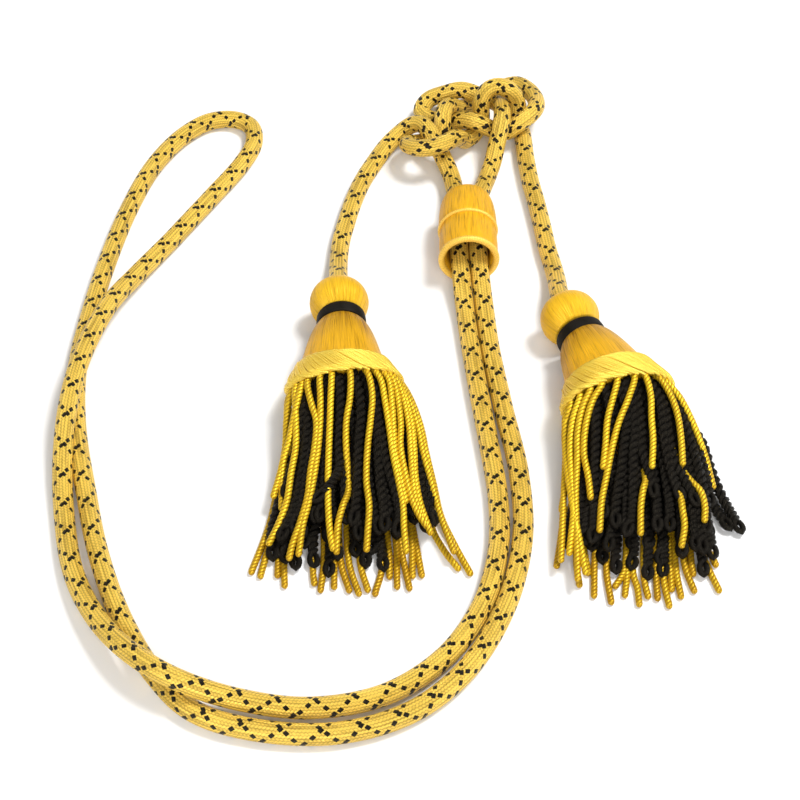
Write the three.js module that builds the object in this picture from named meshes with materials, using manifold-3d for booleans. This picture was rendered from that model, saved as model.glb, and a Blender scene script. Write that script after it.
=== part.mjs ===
// Dress cord with a barrel slide, a knot and two tassels, lying flat on a table.
// Millimetres, +Z up. The origin is on the table under the middle of the whole piece:
// +X runs to the right-hand tassel and +Y towards the knot.

import * as THREE from 'three';
import * as BufferGeometryUtils from 'three/addons/utils/BufferGeometryUtils.js';
import ManifoldModule from 'manifold-3d';

const manifold = await ManifoldModule();
manifold.setup();

// Driving dimensions

const CORD_RADIUS = 3;
const CORD_SIDES = 8;
const LOOP_CORNER_RADIUS = CORD_RADIUS / Math.cos(Math.PI / CORD_SIDES);
const FIT_GAP = 0.3;

const SLIDE_X = 23.2;
const SLIDE_LOW_END = 38;
const SLIDE_LENGTH = 29.6;
const SLIDE_SIDES = 24;

const BALL_RADIUS = 9.35;
const NECK_RADIUS = 5.9;
const SOCKET_RADIUS = CORD_RADIUS + 0.9;
const HEAD_SIDES = 20;
const SKIRT_SIDES = 24;
const BALL_AXIS_HEIGHT = BALL_RADIUS * Math.cos(Math.PI / HEAD_SIDES);

const GOLD_STRAND_RADIUS = 1.05;
const GOLD_STRAND_SIDES = 5;
const GOLD_STRAND_STEPS = 4;
const GOLD_STRANDS = 15;
const GOLD_FAN = THREE.MathUtils.degToRad(102);

const BLACK_STRAND_RADIUS = 1.7;
const BLACK_STRAND_SIDES = 6;
const BLACK_RIBS = 12;
const BLACK_RIB_DEPTH = 0.03;

// Routes of the cord, from where it leaves one piece to where it enters the next.
// The two loose ends and the long loop meet face to face inside the slide.

const LEFT_END_ROUTE = [
  [-18.5, 24.1, 9.2],
  [-18.7, 28, 8.9],
  [-18.8, 33, 7.2],
  [-19, 39, 5],
  [-19, 47, 3.2],
  [-18.5, 55, 3],
  [-17, 64, 3],
  [-15, 74, 3],
  [-12, 85, 3],
  [-8, 95, 3],
  [-3.5, 104, 3.5],
  [1, 109, 5],
  [4.5, 110, 7.5],
  [8, 108.5, 9.5],
  [10.5, 105, 10],
  [13, 100, 8.5],
  [16, 94, 6],
  [18.5, 86.5, 4.5],
  [19.5, 79, 5],
  [20, 71, 7.5],
  [20, 63, 9],
  [20, 54, 9],
];

const RIGHT_END_ROUTE = [
  [52.8, 17.4, 9.2],
  [51.9, 21, 9],
  [51.6, 27, 7.2],
  [51.6, 34, 4.8],
  [51, 42, 3.2],
  [49.5, 52, 3],
  [48.5, 62, 3],
  [47, 75, 3],
  [45.5, 86, 3],
  [44.5, 98.5, 3],
  [44, 109, 3.3],
  [42.5, 116.2, 6],
  [41.9, 119.2, 11.5],
  [39.3, 119.5, 15.6],
  [35.2, 119.9, 17],
  [31.5, 118.9, 16],
  [29.4, 117, 12.5],
  [29.5, 115, 6.5],
  [27.5, 111.5, 3.5],
  [24, 106.5, 4],
  [21.5, 102, 8.5],
  [19.5, 97.5, 12],
  [16, 93, 13.5],
  [12, 91, 13.5],
  [7, 92.5, 12],
  [4, 97, 9.5],
  [4, 101.5, 6.5],
  [7.5, 105, 4],
  [12.5, 106.5, 4],
  [15.5, 108.5, 7],
  [16, 113, 10],
  [18, 119, 9],
  [23, 124.5, 4],
  [30, 130.5, 3.2],
  [36.4, 135.2, 4],
  [42.7, 135.2, 6],
  [46.9, 129.8, 7.4],
  [49, 122, 8.8],
  [48, 114.8, 10.6],
  [45, 110.5, 10.5],
  [41.5, 108.5, 9],
  [38, 108, 6.5],
  [33.5, 108.5, 7],
  [27.5, 109.5, 9.5],
  [23, 112.5, 8],
  [18.5, 115.5, 3.7],
  [11.8, 119, 3.2],
  [8.7, 122.8, 3.8],
  [11, 127, 5.4],
  [17.2, 128.2, 7.5],
  [23, 127.5, 9.5],
  [29, 124.4, 9.5],
  [35.5, 119, 10],
  [36.5, 112, 12.5],
  [36, 105, 13],
  [34.5, 99.5, 9],
  [33, 93.5, 5.5],
  [31, 86.5, 4.5],
  [29, 78.5, 6],
  [27, 70, 8],
  [26.5, 63, 9],
  [26.4, 54, 9],
];

const LOOP_ROUTE = [
  [20, 53.7, 9],
  [20.3, 43, 8.2],
  [20.9, 33, 5.8],
  [21.8, 22, 3.6],
  [22.8, 10, 3],
  [25, -12, 3],
  [27.5, -34, 3],
  [29.5, -55, 3],
  [29, -74, 3],
  [24, -94, 3],
  [13, -112, 3],
  [-3, -124, 3],
  [-23, -128.5, 3.4],
  [-42, -127.5, 6],
  [-57, -124, 9.3],
  [-69, -116.5, 9.3],
  [-81, -102.5, 6],
  [-90.5, -84, 3.5],
  [-96, -62, 3],
  [-98.5, -42, 5.5],
  [-98.5, -24, 9.2],
  [-96.5, -3, 9.5],
  [-91, 20, 8],
  [-84, 38, 4.5],
  [-74, 57, 3],
  [-62.5, 78, 3],
  [-53.5, 95, 3],
  [-50, 106, 3],
  [-51.5, 115, 3],
  [-57.5, 119, 3],
  [-66, 118, 3],
  [-74.5, 110.5, 3],
  [-83.5, 94.5, 3],
  [-90, 72, 3],
  [-94.5, 47, 3],
  [-97.5, 22, 3],
  [-99, -3, 3],
  [-96.5, -27.5, 3],
  [-91, -52, 3],
  [-84.5, -76.5, 3],
  [-75.5, -99.5, 3],
  [-65, -117.5, 3],
  [-54, -129, 3],
  [-37.5, -135, 3],
  [-15, -136, 3],
  [4, -129.5, 3],
  [18.5, -116.5, 3],
  [30, -95.5, 3],
  [36, -71, 3],
  [36, -46, 3],
  [32.5, -20.5, 3],
  [29.3, 5, 3],
  [28, 22, 3.6],
  [27.1, 33, 5.8],
  [26.5, 43, 8.2],
  [26.4, 53.7, 9],
];

// Slide: rings of its section from the low end up, outside first, then back down the bore.

const SLIDE_SECTION = [
  { radius: 8.3, along: 0 },
  { radius: 9.4, along: 0 },
  { radius: 10, along: 1.1 },
  { radius: 9.75, along: 2.6 },
  { radius: 9.75, along: 8 },
  { radius: 9.55, along: 13.9 },
  { radius: 9.85, along: 14.8 },
  { radius: 9.4, along: 15.9 },
  { radius: 9.4, along: 20.5 },
  { radius: 9, along: 24.5 },
  { radius: 8.3, along: 27.8 },
  { radius: 7.5, along: SLIDE_LENGTH },
  { radius: 7.2, along: 28.6 },
  { radius: 7.1, along: 18 },
  { radius: 7.1, along: 6 },
  { radius: 7.6, along: 2.4 },
];

// Tassel sections, measured along the tassel's spine from the middle of its ball.

const BALL_SECTION = [
  { along: -3.4, radius: SOCKET_RADIUS },
  { along: -5.2, radius: SOCKET_RADIUS },
  { along: -5.7, radius: 4.7 },
  { along: -5.1, radius: 6.5 },
  { along: -3.4, radius: 8.2 },
  { along: -1.2, radius: 9.15 },
  { along: 0.9, radius: BALL_RADIUS },
  { along: 3.2, radius: 8.9 },
  { along: 5.4, radius: 7.9 },
  { along: 6.8, radius: 6.9 },
];

const BAND_SECTION = [
  { along: 7.3, radius: NECK_RADIUS + FIT_GAP },
  { along: 7.3, radius: 7.1 },
  { along: 8.3, radius: 7.7 },
  { along: 11.3, radius: 7.8 },
  { along: 12.3, radius: 7.3 },
  { along: 12.3, radius: NECK_RADIUS + FIT_GAP },
];

// The bell, its border and the fringe spread wider than they are tall.
const BELL_SECTION = [
  { along: 7.1, wide: NECK_RADIUS, tall: NECK_RADIUS },
  { along: 12.6, wide: NECK_RADIUS, tall: NECK_RADIUS },
  { along: 12.6, wide: 7.8, tall: 7.7 },
  { along: 15, wide: 9.1, tall: 8.5 },
  { along: 20, wide: 10.6, tall: 9.4 },
  { along: 26, wide: 12, tall: 10 },
  { along: 32, wide: 12.9, tall: 10.2 },
  { along: 38, wide: 13.6, tall: 10.2 },
];

const BORDER_SECTION = [
  { along: 29.6, wide: 13, tall: 10.5 },
  { along: 29.8, wide: 13.9, tall: 11.2 },
  { along: 32.2, wide: 15, tall: 11.3 },
  { along: 35.4, wide: 16.5, tall: 11.6 },
  { along: 38, wide: 17.8, tall: 11.8 },
  { along: 38.8, wide: 17.2, tall: 11.6 },
  { along: 38.4, wide: 14.2, tall: 10.5 },
  { along: 32, wide: 13.2, tall: 10.5 },
];

// Outer envelope of the fringe: half width, and height above the table.
const FRINGE_ENVELOPE = [
  { along: 39, wide: 17.2, height: 22.4 },
  { along: 42, wide: 18.6, height: 22 },
  { along: 49, wide: 20.2, height: 20.5 },
  { along: 57, wide: 21.3, height: 18 },
  { along: 72, wide: 22.8, height: 14.5 },
  { along: 86, wide: 23.8, height: 11.5 },
  { along: 100, wide: 25, height: 8 },
  { along: 112, wide: 26, height: 4.5 },
];

const FRINGE_HEADER_SECTION = [
  { along: 39.1, wide: 17, tall: 11 },
  { along: 41.2, wide: 18, tall: 11 },
  { along: 41.2, wide: 13.9, tall: 9.6 },
  { along: 39.1, wide: 13.9, tall: 9.6 },
];

const BLACK_SPREAD = 17.5;

const CORE_START = 39.1;
const CORE_END = 97;
const CORE_STATIONS = 8;
const CORE_NECK = { wide: 13.2, tall: 8.1, length: 2.4 };
const CORE_CLEARANCE = 3.1;
const CORE_SAG = 1.5;

// Each tassel lies along its own spine, which bends a little to one side. Its sections lean
// forward at the top, most where the border starts.
const TASSELS = [
  {
    side: 'left',
    spine: [[-18.9, 30], [-18.25, 20], [-17.4, 11.5], [-15.8, -18.5], [-12.6, -37], [-11.8, -52], [-10.5, -66], [-9.6, -100]],
    axisHeight: 11,
    lean: [{ along: 13, top: 0 }, { along: 29, top: 4.5 }, { along: 39, top: 2.5 }, { along: 60, top: 0 }],
    tipSpread: 1.2,
    stray: null,
  },
  {
    side: 'right',
    spine: [[51, 23], [54, 13.2], [56.5, 5.8], [66.6, -25], [68.9, -37], [70.2, -52], [69.5, -66], [66.5, -100]],
    axisHeight: 11.4,
    lean: [{ along: 13, top: 0 }, { along: 29, top: 1.5 }, { along: 39, top: 0.6 }, { along: 60, top: 0 }],
    tipSpread: 1.02,
    stray: [[82, -44, 2.4], [89.5, -52, 2.3], [95.5, -60, 2.2], [99, -68, 2.1]],
  },
];

const GOLD_TIPS = [3.5, 1, 5, 7.5, 4, 8.5, 6, 10.5, 7, 11.5, 8, 5.5, 6.5, 3, 0.5];
const BLACK_TIPS = [1, 3, 5, 4, 6, 4.5, 3, 1.5];

const GOLD_CORD = { color: 0xe2a91f, roughness: 0.55, metalness: 0.1 };
const GOLD_SILK = { color: 0xf0b41e, roughness: 0.45, metalness: 0.1 };
const GOLD_BULLION = { color: 0xe8b81c, roughness: 0.4, metalness: 0.2 };
const BLACK_CORD = { color: 0x15151a, roughness: 0.6, metalness: 0 };

// A curve whose equal steps run from point to point, so it is stepped finely where its points
// are close together.
class PointPacedCurve extends THREE.CatmullRomCurve3 {
  getPointAt(u, target) {
    return this.getPoint(u, target);
  }

  getTangentAt(u, target) {
    return this.getTangent(u, target);
  }
}

// The long loop keeps one flat of its section facing down all the way round.
class FlatFootedCurve extends PointPacedCurve {
  computeFrenetFrames(steps) {
    const up = new THREE.Vector3(0, 0, 1);
    const frames = { tangents: [], normals: [], binormals: [] };
    for (let i = 0; i <= steps; i++) {
      const tangent = this.getTangent(i / steps).normalize();
      const normal = up.clone().addScaledVector(tangent, -up.dot(tangent)).normalize();
      frames.tangents.push(tangent);
      frames.normals.push(normal);
      frames.binormals.push(new THREE.Vector3().crossVectors(tangent, normal));
    }
    return frames;
  }
}

function vectors(points) {
  return points.map(([x, y, z]) => new THREE.Vector3(x, y, z));
}

// A polygon with a flat side square to its first axis.
function flatSidedSection(cornerRadius, sides) {
  const shape = new THREE.Shape();
  for (let i = 0; i < sides; i++) {
    const angle = ((i + 0.5) / sides) * 2 * Math.PI;
    const x = cornerRadius * Math.cos(angle);
    const y = cornerRadius * Math.sin(angle);
    if (i === 0) shape.moveTo(x, y);
    else shape.lineTo(x, y);
  }
  shape.closePath();
  return shape;
}

function tube(curve, cornerRadius, sides, steps) {
  return new THREE.ExtrudeGeometry(flatSidedSection(cornerRadius, sides), {
    steps,
    extrudePath: curve,
    bevelEnabled: false,
  });
}

function interpolateRows(rows, along, key) {
  let i = 0;
  while (i < rows.length - 2 && along > rows[i + 1].along) i++;
  const t = THREE.MathUtils.clamp((along - rows[i].along) / (rows[i + 1].along - rows[i].along), 0, 1);
  return THREE.MathUtils.lerp(rows[i][key], rows[i + 1][key], t);
}

// Rings of equal count joined in order: capped at both ends, or closed on themselves.
function skinRings(rings, closed) {
  const count = rings[0].length;
  const positions = rings.flat().flatMap((p) => [p.x, p.y, p.z]);
  const index = [];
  const spans = closed ? rings.length : rings.length - 1;
  for (let r = 0; r < spans; r++) {
    const a = r * count;
    const b = ((r + 1) % rings.length) * count;
    for (let i = 0; i < count; i++) {
      const j = (i + 1) % count;
      index.push(a + i, a + j, b + j, a + i, b + j, b + i);
    }
  }
  if (!closed) {
    capRing(rings[0], 0, positions, index, false);
    capRing(rings.at(-1), (rings.length - 1) * count, positions, index, true);
  }
  const geometry = new THREE.BufferGeometry();
  geometry.setAttribute('position', new THREE.Float32BufferAttribute(positions, 3));
  geometry.setIndex(index);
  return geometry;
}

function capRing(ring, first, positions, index, forward) {
  const middle = ring.reduce((sum, p) => sum.add(p), new THREE.Vector3()).divideScalar(ring.length);
  const hub = positions.length / 3;
  positions.push(middle.x, middle.y, middle.z);
  for (let i = 0; i < ring.length; i++) {
    const j = (i + 1) % ring.length;
    if (forward) index.push(hub, first + i, first + j);
    else index.push(hub, first + j, first + i);
  }
}

// The slide's ring section is turned about its own axis and laid along Y.
function slideBarrel() {
  const section = [...SLIDE_SECTION, SLIDE_SECTION[0]];
  const profile = section.map(({ radius, along }) => new THREE.Vector2(radius, along));
  return new THREE.LatheGeometry(profile, SLIDE_SIDES, Math.PI / SLIDE_SIDES);
}

// Places sections along a tassel's spine. The spine's arc length is measured from the ball.
class TasselFrame {
  constructor({ spine, axisHeight, lean, tipSpread }) {
    this.curve = new THREE.CatmullRomCurve3(spine.map(([x, y]) => new THREE.Vector3(x, y, 0)));
    this.curve.arcLengthDivisions = 400;
    const [start, ball] = spine.map(([x, y]) => new THREE.Vector2(x, y));
    this.ballAt = start.distanceTo(ball);
    this.length = this.curve.getLength();
    this.axisHeight = axisHeight;
    this.lean = lean;
    this.tipSpread = tipSpread;
  }

  // Height of the head's axis: the ball rests on the table, and the bell a little higher.
  headHeight(along) {
    const t = THREE.MathUtils.clamp((along - 7) / 23, 0, 1);
    return THREE.MathUtils.lerp(BALL_AXIS_HEIGHT, this.axisHeight, t);
  }

  // Where a section's point comes to lie once the section leans; angle 0 is its top.
  leaned(along, angle) {
    return along + interpolateRows(this.lean, along, 'top') * Math.cos(angle);
  }

  // The point across and above the spine at a distance along it.
  place(along, across, height) {
    const u = THREE.MathUtils.clamp((along + this.ballAt) / this.length, 0, 1);
    const point = this.curve.getPointAt(u);
    const forward = this.curve.getTangentAt(u);
    return new THREE.Vector3(point.x - forward.y * across, point.y + forward.x * across, height);
  }

  // A ring round the axis, wide to the sides, tall above it and deep below, cut off at the table.
  ring(along, { wide, tall, deep = tall, centre }, sides, ripple = () => 0) {
    const points = [];
    for (let i = 0; i < sides; i++) {
      const angle = ((i + 0.5) / sides) * 2 * Math.PI;
      const swell = 1 + ripple(angle);
      const rise = Math.cos(angle) * swell;
      const height = centre + rise * (rise > 0 ? tall : deep);
      const across = -wide * swell * Math.sin(angle);
      points.push(this.place(this.leaned(along, angle), across, Math.max(height, 0)));
    }
    return points;
  }

  // A turned or oval body whose sections follow the head's axis.
  body(rows, sides, closed) {
    const rings = rows.map(({ along, radius, wide = radius, tall = radius }) =>
      this.ring(along, { wide, tall, centre: this.headHeight(along) }, sides));
    return skinRings(rings, closed);
  }

  // A point on the fringe's envelope, brought in by an inset; angle 0 is the top.
  onEnvelope(along, angle, inset) {
    const reach = THREE.MathUtils.smoothstep(along, 80, 110) * (this.tipSpread - 1);
    const wide = interpolateRows(FRINGE_ENVELOPE, along, 'wide') * (1 + reach * Math.abs(Math.sin(angle)));
    const half = interpolateRows(FRINGE_ENVELOPE, along, 'height') / 2;
    const height = half + (half - inset) * Math.cos(angle);
    const across = (wide - inset) * Math.sin(angle);
    return this.place(this.leaned(along, angle), across, Math.max(height, inset));
  }
}

// Turns a closed geometry into a solid that can be joined.
function solid(geometry) {
  const bare = geometry.clone();
  bare.deleteAttribute('normal');
  bare.deleteAttribute('uv');
  const merged = BufferGeometryUtils.mergeVertices(bare, 1e-4);
  return new manifold.Manifold(new manifold.Mesh({
    numProp: 3,
    vertProperties: new Float32Array(merged.attributes.position.array),
    triVerts: new Uint32Array(merged.index.array),
  }));
}

function joined(geometries) {
  const whole = geometries.map(solid).reduce((sum, next) => sum.add(next));
  const mesh = whole.getMesh();
  const geometry = new THREE.BufferGeometry();
  geometry.setAttribute('position', new THREE.BufferAttribute(mesh.vertProperties, 3));
  geometry.setIndex(new THREE.BufferAttribute(mesh.triVerts, 1));
  return geometry;
}

// Gold strands fan from one header ring over the top and sides of the black ones.
function goldFringe(frame) {
  const pieces = [frame.body(FRINGE_HEADER_SECTION, SKIRT_SIDES, true)];
  for (let i = 0; i < GOLD_STRANDS; i++) {
    const angle = THREE.MathUtils.lerp(-GOLD_FAN, GOLD_FAN, i / (GOLD_STRANDS - 1));
    const tip = 101 + GOLD_TIPS[i];
    const stations = [40.2, 46, 60, 80, tip];
    const route = stations.map((along) => frame.onEnvelope(along, angle, GOLD_STRAND_RADIUS + 0.1));
    const curve = new PointPacedCurve(route);
    pieces.push(tube(curve, GOLD_STRAND_RADIUS, GOLD_STRAND_SIDES, GOLD_STRAND_STEPS));
  }
  return joined(pieces);
}

// Black strands lie as one ribbed bundle whose looped ends stick out of it.
function blackFringe(frame, stray) {
  const ribs = (angle) => BLACK_RIB_DEPTH * (Math.cos(BLACK_RIBS * angle) - 1);
  const neckEnd = CORE_START + CORE_NECK.length;
  const neck = { ...CORE_NECK, centre: frame.headHeight(CORE_START) };
  const rings = [CORE_START, neckEnd].map((along) => frame.ring(along, neck, BLACK_RIBS * 3));
  for (let i = 0; i < CORE_STATIONS; i++) {
    const along = THREE.MathUtils.lerp(neckEnd + 0.4, CORE_END, i / (CORE_STATIONS - 1));
    const wide = interpolateRows(FRINGE_ENVELOPE, along, 'wide') - CORE_CLEARANCE;
    const half = interpolateRows(FRINGE_ENVELOPE, along, 'height') / 2;
    const section = { wide, tall: half - CORE_CLEARANCE, deep: half + CORE_SAG, centre: half };
    rings.push(frame.ring(along, section, BLACK_RIBS * 3, ribs));
  }
  return joined([skinRings(rings, false), ...blackEnds(frame), ...strayEnd(stray)]);
}

function blackEnds(frame) {
  return BLACK_TIPS.map((reach, i) => {
    const across = THREE.MathUtils.lerp(-BLACK_SPREAD, BLACK_SPREAD, i / (BLACK_TIPS.length - 1));
    const route = [
      frame.place(CORE_END - 8, across * 0.93, 4),
      frame.place(CORE_END + reach * 0.5, across, 2.9),
      frame.place(CORE_END + reach, across * 1.03, BLACK_STRAND_RADIUS + 0.1),
    ];
    return tube(new PointPacedCurve(route), BLACK_STRAND_RADIUS, BLACK_STRAND_SIDES, 2);
  });
}

function strayEnd(stray) {
  if (!stray) return [];
  return [tube(new PointPacedCurve(vectors(stray)), BLACK_STRAND_RADIUS, BLACK_STRAND_SIDES, 6)];
}

function named(name, geometry, finish) {
  const mesh = new THREE.Mesh(geometry, new THREE.MeshStandardMaterial(finish));
  mesh.name = name;
  return mesh;
}

function cord() {
  const group = new THREE.Group();
  const leftEnd = new PointPacedCurve(vectors(LEFT_END_ROUTE));
  const rightEnd = new PointPacedCurve(vectors(RIGHT_END_ROUTE));
  const loop = new FlatFootedCurve(vectors(LOOP_ROUTE));
  group.add(
    named('cord_left_end', tube(leftEnd, CORD_RADIUS, CORD_SIDES, LEFT_END_ROUTE.length - 1), GOLD_CORD),
    named('cord_right_end', tube(rightEnd, CORD_RADIUS, CORD_SIDES, RIGHT_END_ROUTE.length - 1), GOLD_CORD),
    named('cord_loop', tube(loop, LOOP_CORNER_RADIUS, CORD_SIDES, LOOP_ROUTE.length - 1), GOLD_CORD),
  );
  return group;
}

function slide() {
  const mesh = named('slide', slideBarrel(), GOLD_SILK);
  const widest = Math.max(...SLIDE_SECTION.map(({ radius }) => radius));
  mesh.position.set(SLIDE_X, SLIDE_LOW_END, widest * Math.cos(Math.PI / SLIDE_SIDES));
  return mesh;
}

function tassel(layout) {
  const frame = new TasselFrame(layout);
  const group = new THREE.Group();
  const add = (piece, geometry, finish) => group.add(named(`${layout.side}_${piece}`, geometry, finish));
  add('ball', frame.body(BALL_SECTION, HEAD_SIDES, false), GOLD_SILK);
  add('neck_band', frame.body(BAND_SECTION, HEAD_SIDES, true), BLACK_CORD);
  add('bell', frame.body(BELL_SECTION, SKIRT_SIDES, false), GOLD_SILK);
  add('border', frame.body(BORDER_SECTION, SKIRT_SIDES, true), GOLD_BULLION);
  add('gold_fringe', goldFringe(frame), GOLD_BULLION);
  add('black_fringe', blackFringe(frame, layout.stray), BLACK_CORD);
  return group;
}

const dressCord = new THREE.Group();
dressCord.add(cord(), slide(), ...TASSELS.map(tassel));

export default dressCord;
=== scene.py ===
"""Dress cord with a barrel slide, a flat knot and two tassels, dressed over its CAD solids.

The tables are in millimetres in the part's frame: +Z up from the table, +Y towards the knot.
Meshes are written in metres.
"""

from __future__ import annotations

import functools
import logging
import math
from dataclasses import dataclass, field
from enum import Enum
from typing import Callable, Sequence

import bpy
import numpy as np
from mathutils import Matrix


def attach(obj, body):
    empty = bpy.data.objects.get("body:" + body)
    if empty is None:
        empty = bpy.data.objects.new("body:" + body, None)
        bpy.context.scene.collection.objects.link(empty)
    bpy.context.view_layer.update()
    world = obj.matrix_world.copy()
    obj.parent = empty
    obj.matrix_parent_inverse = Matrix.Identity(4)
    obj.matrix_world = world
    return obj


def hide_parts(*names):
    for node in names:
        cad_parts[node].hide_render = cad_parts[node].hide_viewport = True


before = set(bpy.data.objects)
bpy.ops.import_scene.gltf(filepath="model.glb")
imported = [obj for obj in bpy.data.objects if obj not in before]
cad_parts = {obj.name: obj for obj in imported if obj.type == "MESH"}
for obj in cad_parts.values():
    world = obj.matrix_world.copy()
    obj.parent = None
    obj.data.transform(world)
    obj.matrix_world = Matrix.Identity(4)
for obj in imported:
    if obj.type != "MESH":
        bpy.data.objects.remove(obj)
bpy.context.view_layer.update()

LOG = logging.getLogger("dress_cord")
MM = 0.001
CORD_RADIUS = 3.0
SEED = 7
BLACK_SEED = 18
DOME_ANGLES = (30, 60, 82)

Row = Sequence[float]
Colour = tuple[float, float, float]
Places = np.ndarray | float
Socket = bpy.types.NodeSocket
Sockets = dict[str, Socket]
Value = Socket | float | tuple[float, ...]

# Routes of the cord, as in the part's source.

LEFT_END_ROUTE: list[Row] = [
    (-18.5, 24.1, 9.2), (-18.7, 28, 8.9), (-18.8, 33, 7.2), (-19, 39, 5), (-19, 47, 3.2),
    (-18.5, 55, 3), (-17, 64, 3), (-15, 74, 3), (-12, 85, 3), (-8, 95, 3), (-3.5, 104, 3.5),
    (1, 109, 5), (4.5, 110, 7.5), (8, 108.5, 9.5), (10.5, 105, 10), (13, 100, 8.5), (16, 94, 6),
    (18.5, 86.5, 4.5), (19.5, 79, 5), (20, 71, 7.5), (20, 63, 9), (20, 54, 9),
]

RIGHT_END_ROUTE: list[Row] = [
    (52.8, 17.4, 9.2), (51.9, 21, 9), (51.6, 27, 7.2), (51.6, 34, 4.8), (51, 42, 3.2),
    (49.5, 52, 3), (48.5, 62, 3), (47, 75, 3), (45.5, 86, 3), (44.5, 98.5, 3), (44, 109, 3.3),
    (42.5, 116.2, 6), (41.9, 119.2, 11.5), (39.3, 119.5, 15.6), (35.2, 119.9, 17),
    (31.5, 118.9, 16), (29.4, 117, 12.5), (29.5, 115, 6.5), (27.5, 111.5, 3.5), (24, 106.5, 4),
    (21.5, 102, 8.5), (19.5, 97.5, 12), (16, 93, 13.5), (12, 91, 13.5), (7, 92.5, 12),
    (4, 97, 9.5), (4, 101.5, 6.5), (7.5, 105, 4), (12.5, 106.5, 4), (15.5, 108.5, 7),
    (16, 113, 10), (18, 119, 9), (23, 124.5, 4), (30, 130.5, 3.2), (36.4, 135.2, 4),
    (42.7, 135.2, 6), (46.9, 129.8, 7.4), (49, 122, 8.8), (48, 114.8, 10.6), (45, 110.5, 10.5),
    (41.5, 108.5, 9), (38, 108, 6.5), (33.5, 108.5, 7), (27.5, 109.5, 9.5), (23, 112.5, 8),
    (18.5, 115.5, 3.7), (11.8, 119, 3.2), (8.7, 122.8, 3.8), (11, 127, 5.4),
    (17.2, 128.2, 7.5), (23, 127.5, 9.5), (29, 124.4, 9.5), (35.5, 119, 10), (36.5, 112, 12.5),
    (36, 105, 13), (34.5, 99.5, 9), (33, 93.5, 5.5), (31, 86.5, 4.5), (29, 78.5, 6),
    (27, 70, 8), (26.5, 63, 9), (26.4, 54, 9),
]

LOOP_ROUTE: list[Row] = [
    (20, 53.7, 9), (20.3, 43, 8.2), (20.9, 33, 5.8), (21.8, 22, 3.6), (22.8, 10, 3),
    (25, -12, 3), (27.5, -34, 3), (29.5, -55, 3), (29, -74, 3), (24, -94, 3), (13, -112, 3),
    (-3, -124, 3), (-23, -128.5, 3.4), (-42, -127.5, 6), (-57, -124, 9.3), (-69, -116.5, 9.3),
    (-81, -102.5, 6), (-90.5, -84, 3.5), (-96, -62, 3), (-98.5, -42, 5.5), (-98.5, -24, 9.2),
    (-96.5, -3, 9.5), (-91, 20, 8), (-84, 38, 4.5), (-74, 57, 3), (-62.5, 78, 3),
    (-53.5, 95, 3), (-50, 106, 3), (-51.5, 115, 3), (-57.5, 119, 3), (-66, 118, 3),
    (-74.5, 110.5, 3), (-83.5, 94.5, 3), (-90, 72, 3), (-94.5, 47, 3), (-97.5, 22, 3),
    (-99, -3, 3), (-96.5, -27.5, 3), (-91, -52, 3), (-84.5, -76.5, 3), (-75.5, -99.5, 3),
    (-65, -117.5, 3), (-54, -129, 3), (-37.5, -135, 3), (-15, -136, 3), (4, -129.5, 3),
    (18.5, -116.5, 3), (30, -95.5, 3), (36, -71, 3), (36, -46, 3), (32.5, -20.5, 3),
    (29.3, 5, 3), (28, 22, 3.6), (27.1, 33, 5.8), (26.5, 43, 8.2), (26.4, 53.7, 9),
]


# Curves and meshes


def catmull_rom(points: Sequence[Row], at: np.ndarray) -> np.ndarray:
    """Centripetal spline through points, with its ends carried straight on.

    Args:
        points: The points that the curve passes through.
        at: Places along it, from 0 to 1 in equal steps from point to point.

    Returns:
        One point for each place.
    """
    p = np.asarray(points, float)
    p = np.vstack([2 * p[0] - p[1], p, 2 * p[-1] - p[-2]])
    place = np.clip(at, 0, 1) * (len(p) - 3)
    i = np.minimum(place.astype(int), len(p) - 4)
    w = (place - i)[:, None]
    before, start, end, after = p[i], p[i + 1], p[i + 2], p[i + 3]
    gaps = [np.linalg.norm(b - a, axis=1)[:, None] ** 0.5
            for a, b in ((before, start), (start, end), (end, after))]
    leave = ((start - before) / gaps[0] - (end - before) / (gaps[0] + gaps[1])
             + (end - start) / gaps[1]) * gaps[1]
    arrive = ((end - start) / gaps[1] - (after - start) / (gaps[1] + gaps[2])
              + (after - end) / gaps[2]) * gaps[1]
    square = 3 * (end - start) - 2 * leave - arrive
    cube = 2 * (start - end) + leave + arrive
    return start + leave * w + square * w**2 + cube * w**3


def measured(points: np.ndarray) -> np.ndarray:
    """Distances of points from the first one, measured from point to point."""
    steps = np.linalg.norm(np.diff(points, axis=0), axis=1)
    return np.concatenate([[0.0], np.cumsum(steps)])


class Path:
    """A smooth line through points, read by the distance along it."""

    def __init__(self, points: Sequence[Row], samples: int = 40) -> None:
        """Samples the spline finely enough to measure it.

        Args:
            points: The points that the line passes through.
            samples: How many samples there are for each point.
        """
        self.points = catmull_rom(points, np.linspace(0, 1, samples * len(points)))
        self.distances = measured(self.points)
        self.length = float(self.distances[-1])

    def at(self, distance: np.ndarray) -> np.ndarray:
        """Points at distances along the path."""
        columns = [np.interp(distance, self.distances, c) for c in self.points.T]
        return np.stack(columns, axis=-1)

    def every(self, step: float) -> np.ndarray:
        """Evenly spaced points, about one step apart, ends included."""
        count = max(int(round(self.length / step)), 2)
        return self.at(np.linspace(0, self.length, count + 1))


def unit(vectors: np.ndarray) -> np.ndarray:
    """Vectors scaled to a length of one."""
    return vectors / np.maximum(np.linalg.norm(vectors, axis=-1, keepdims=True), 1e-12)


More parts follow.
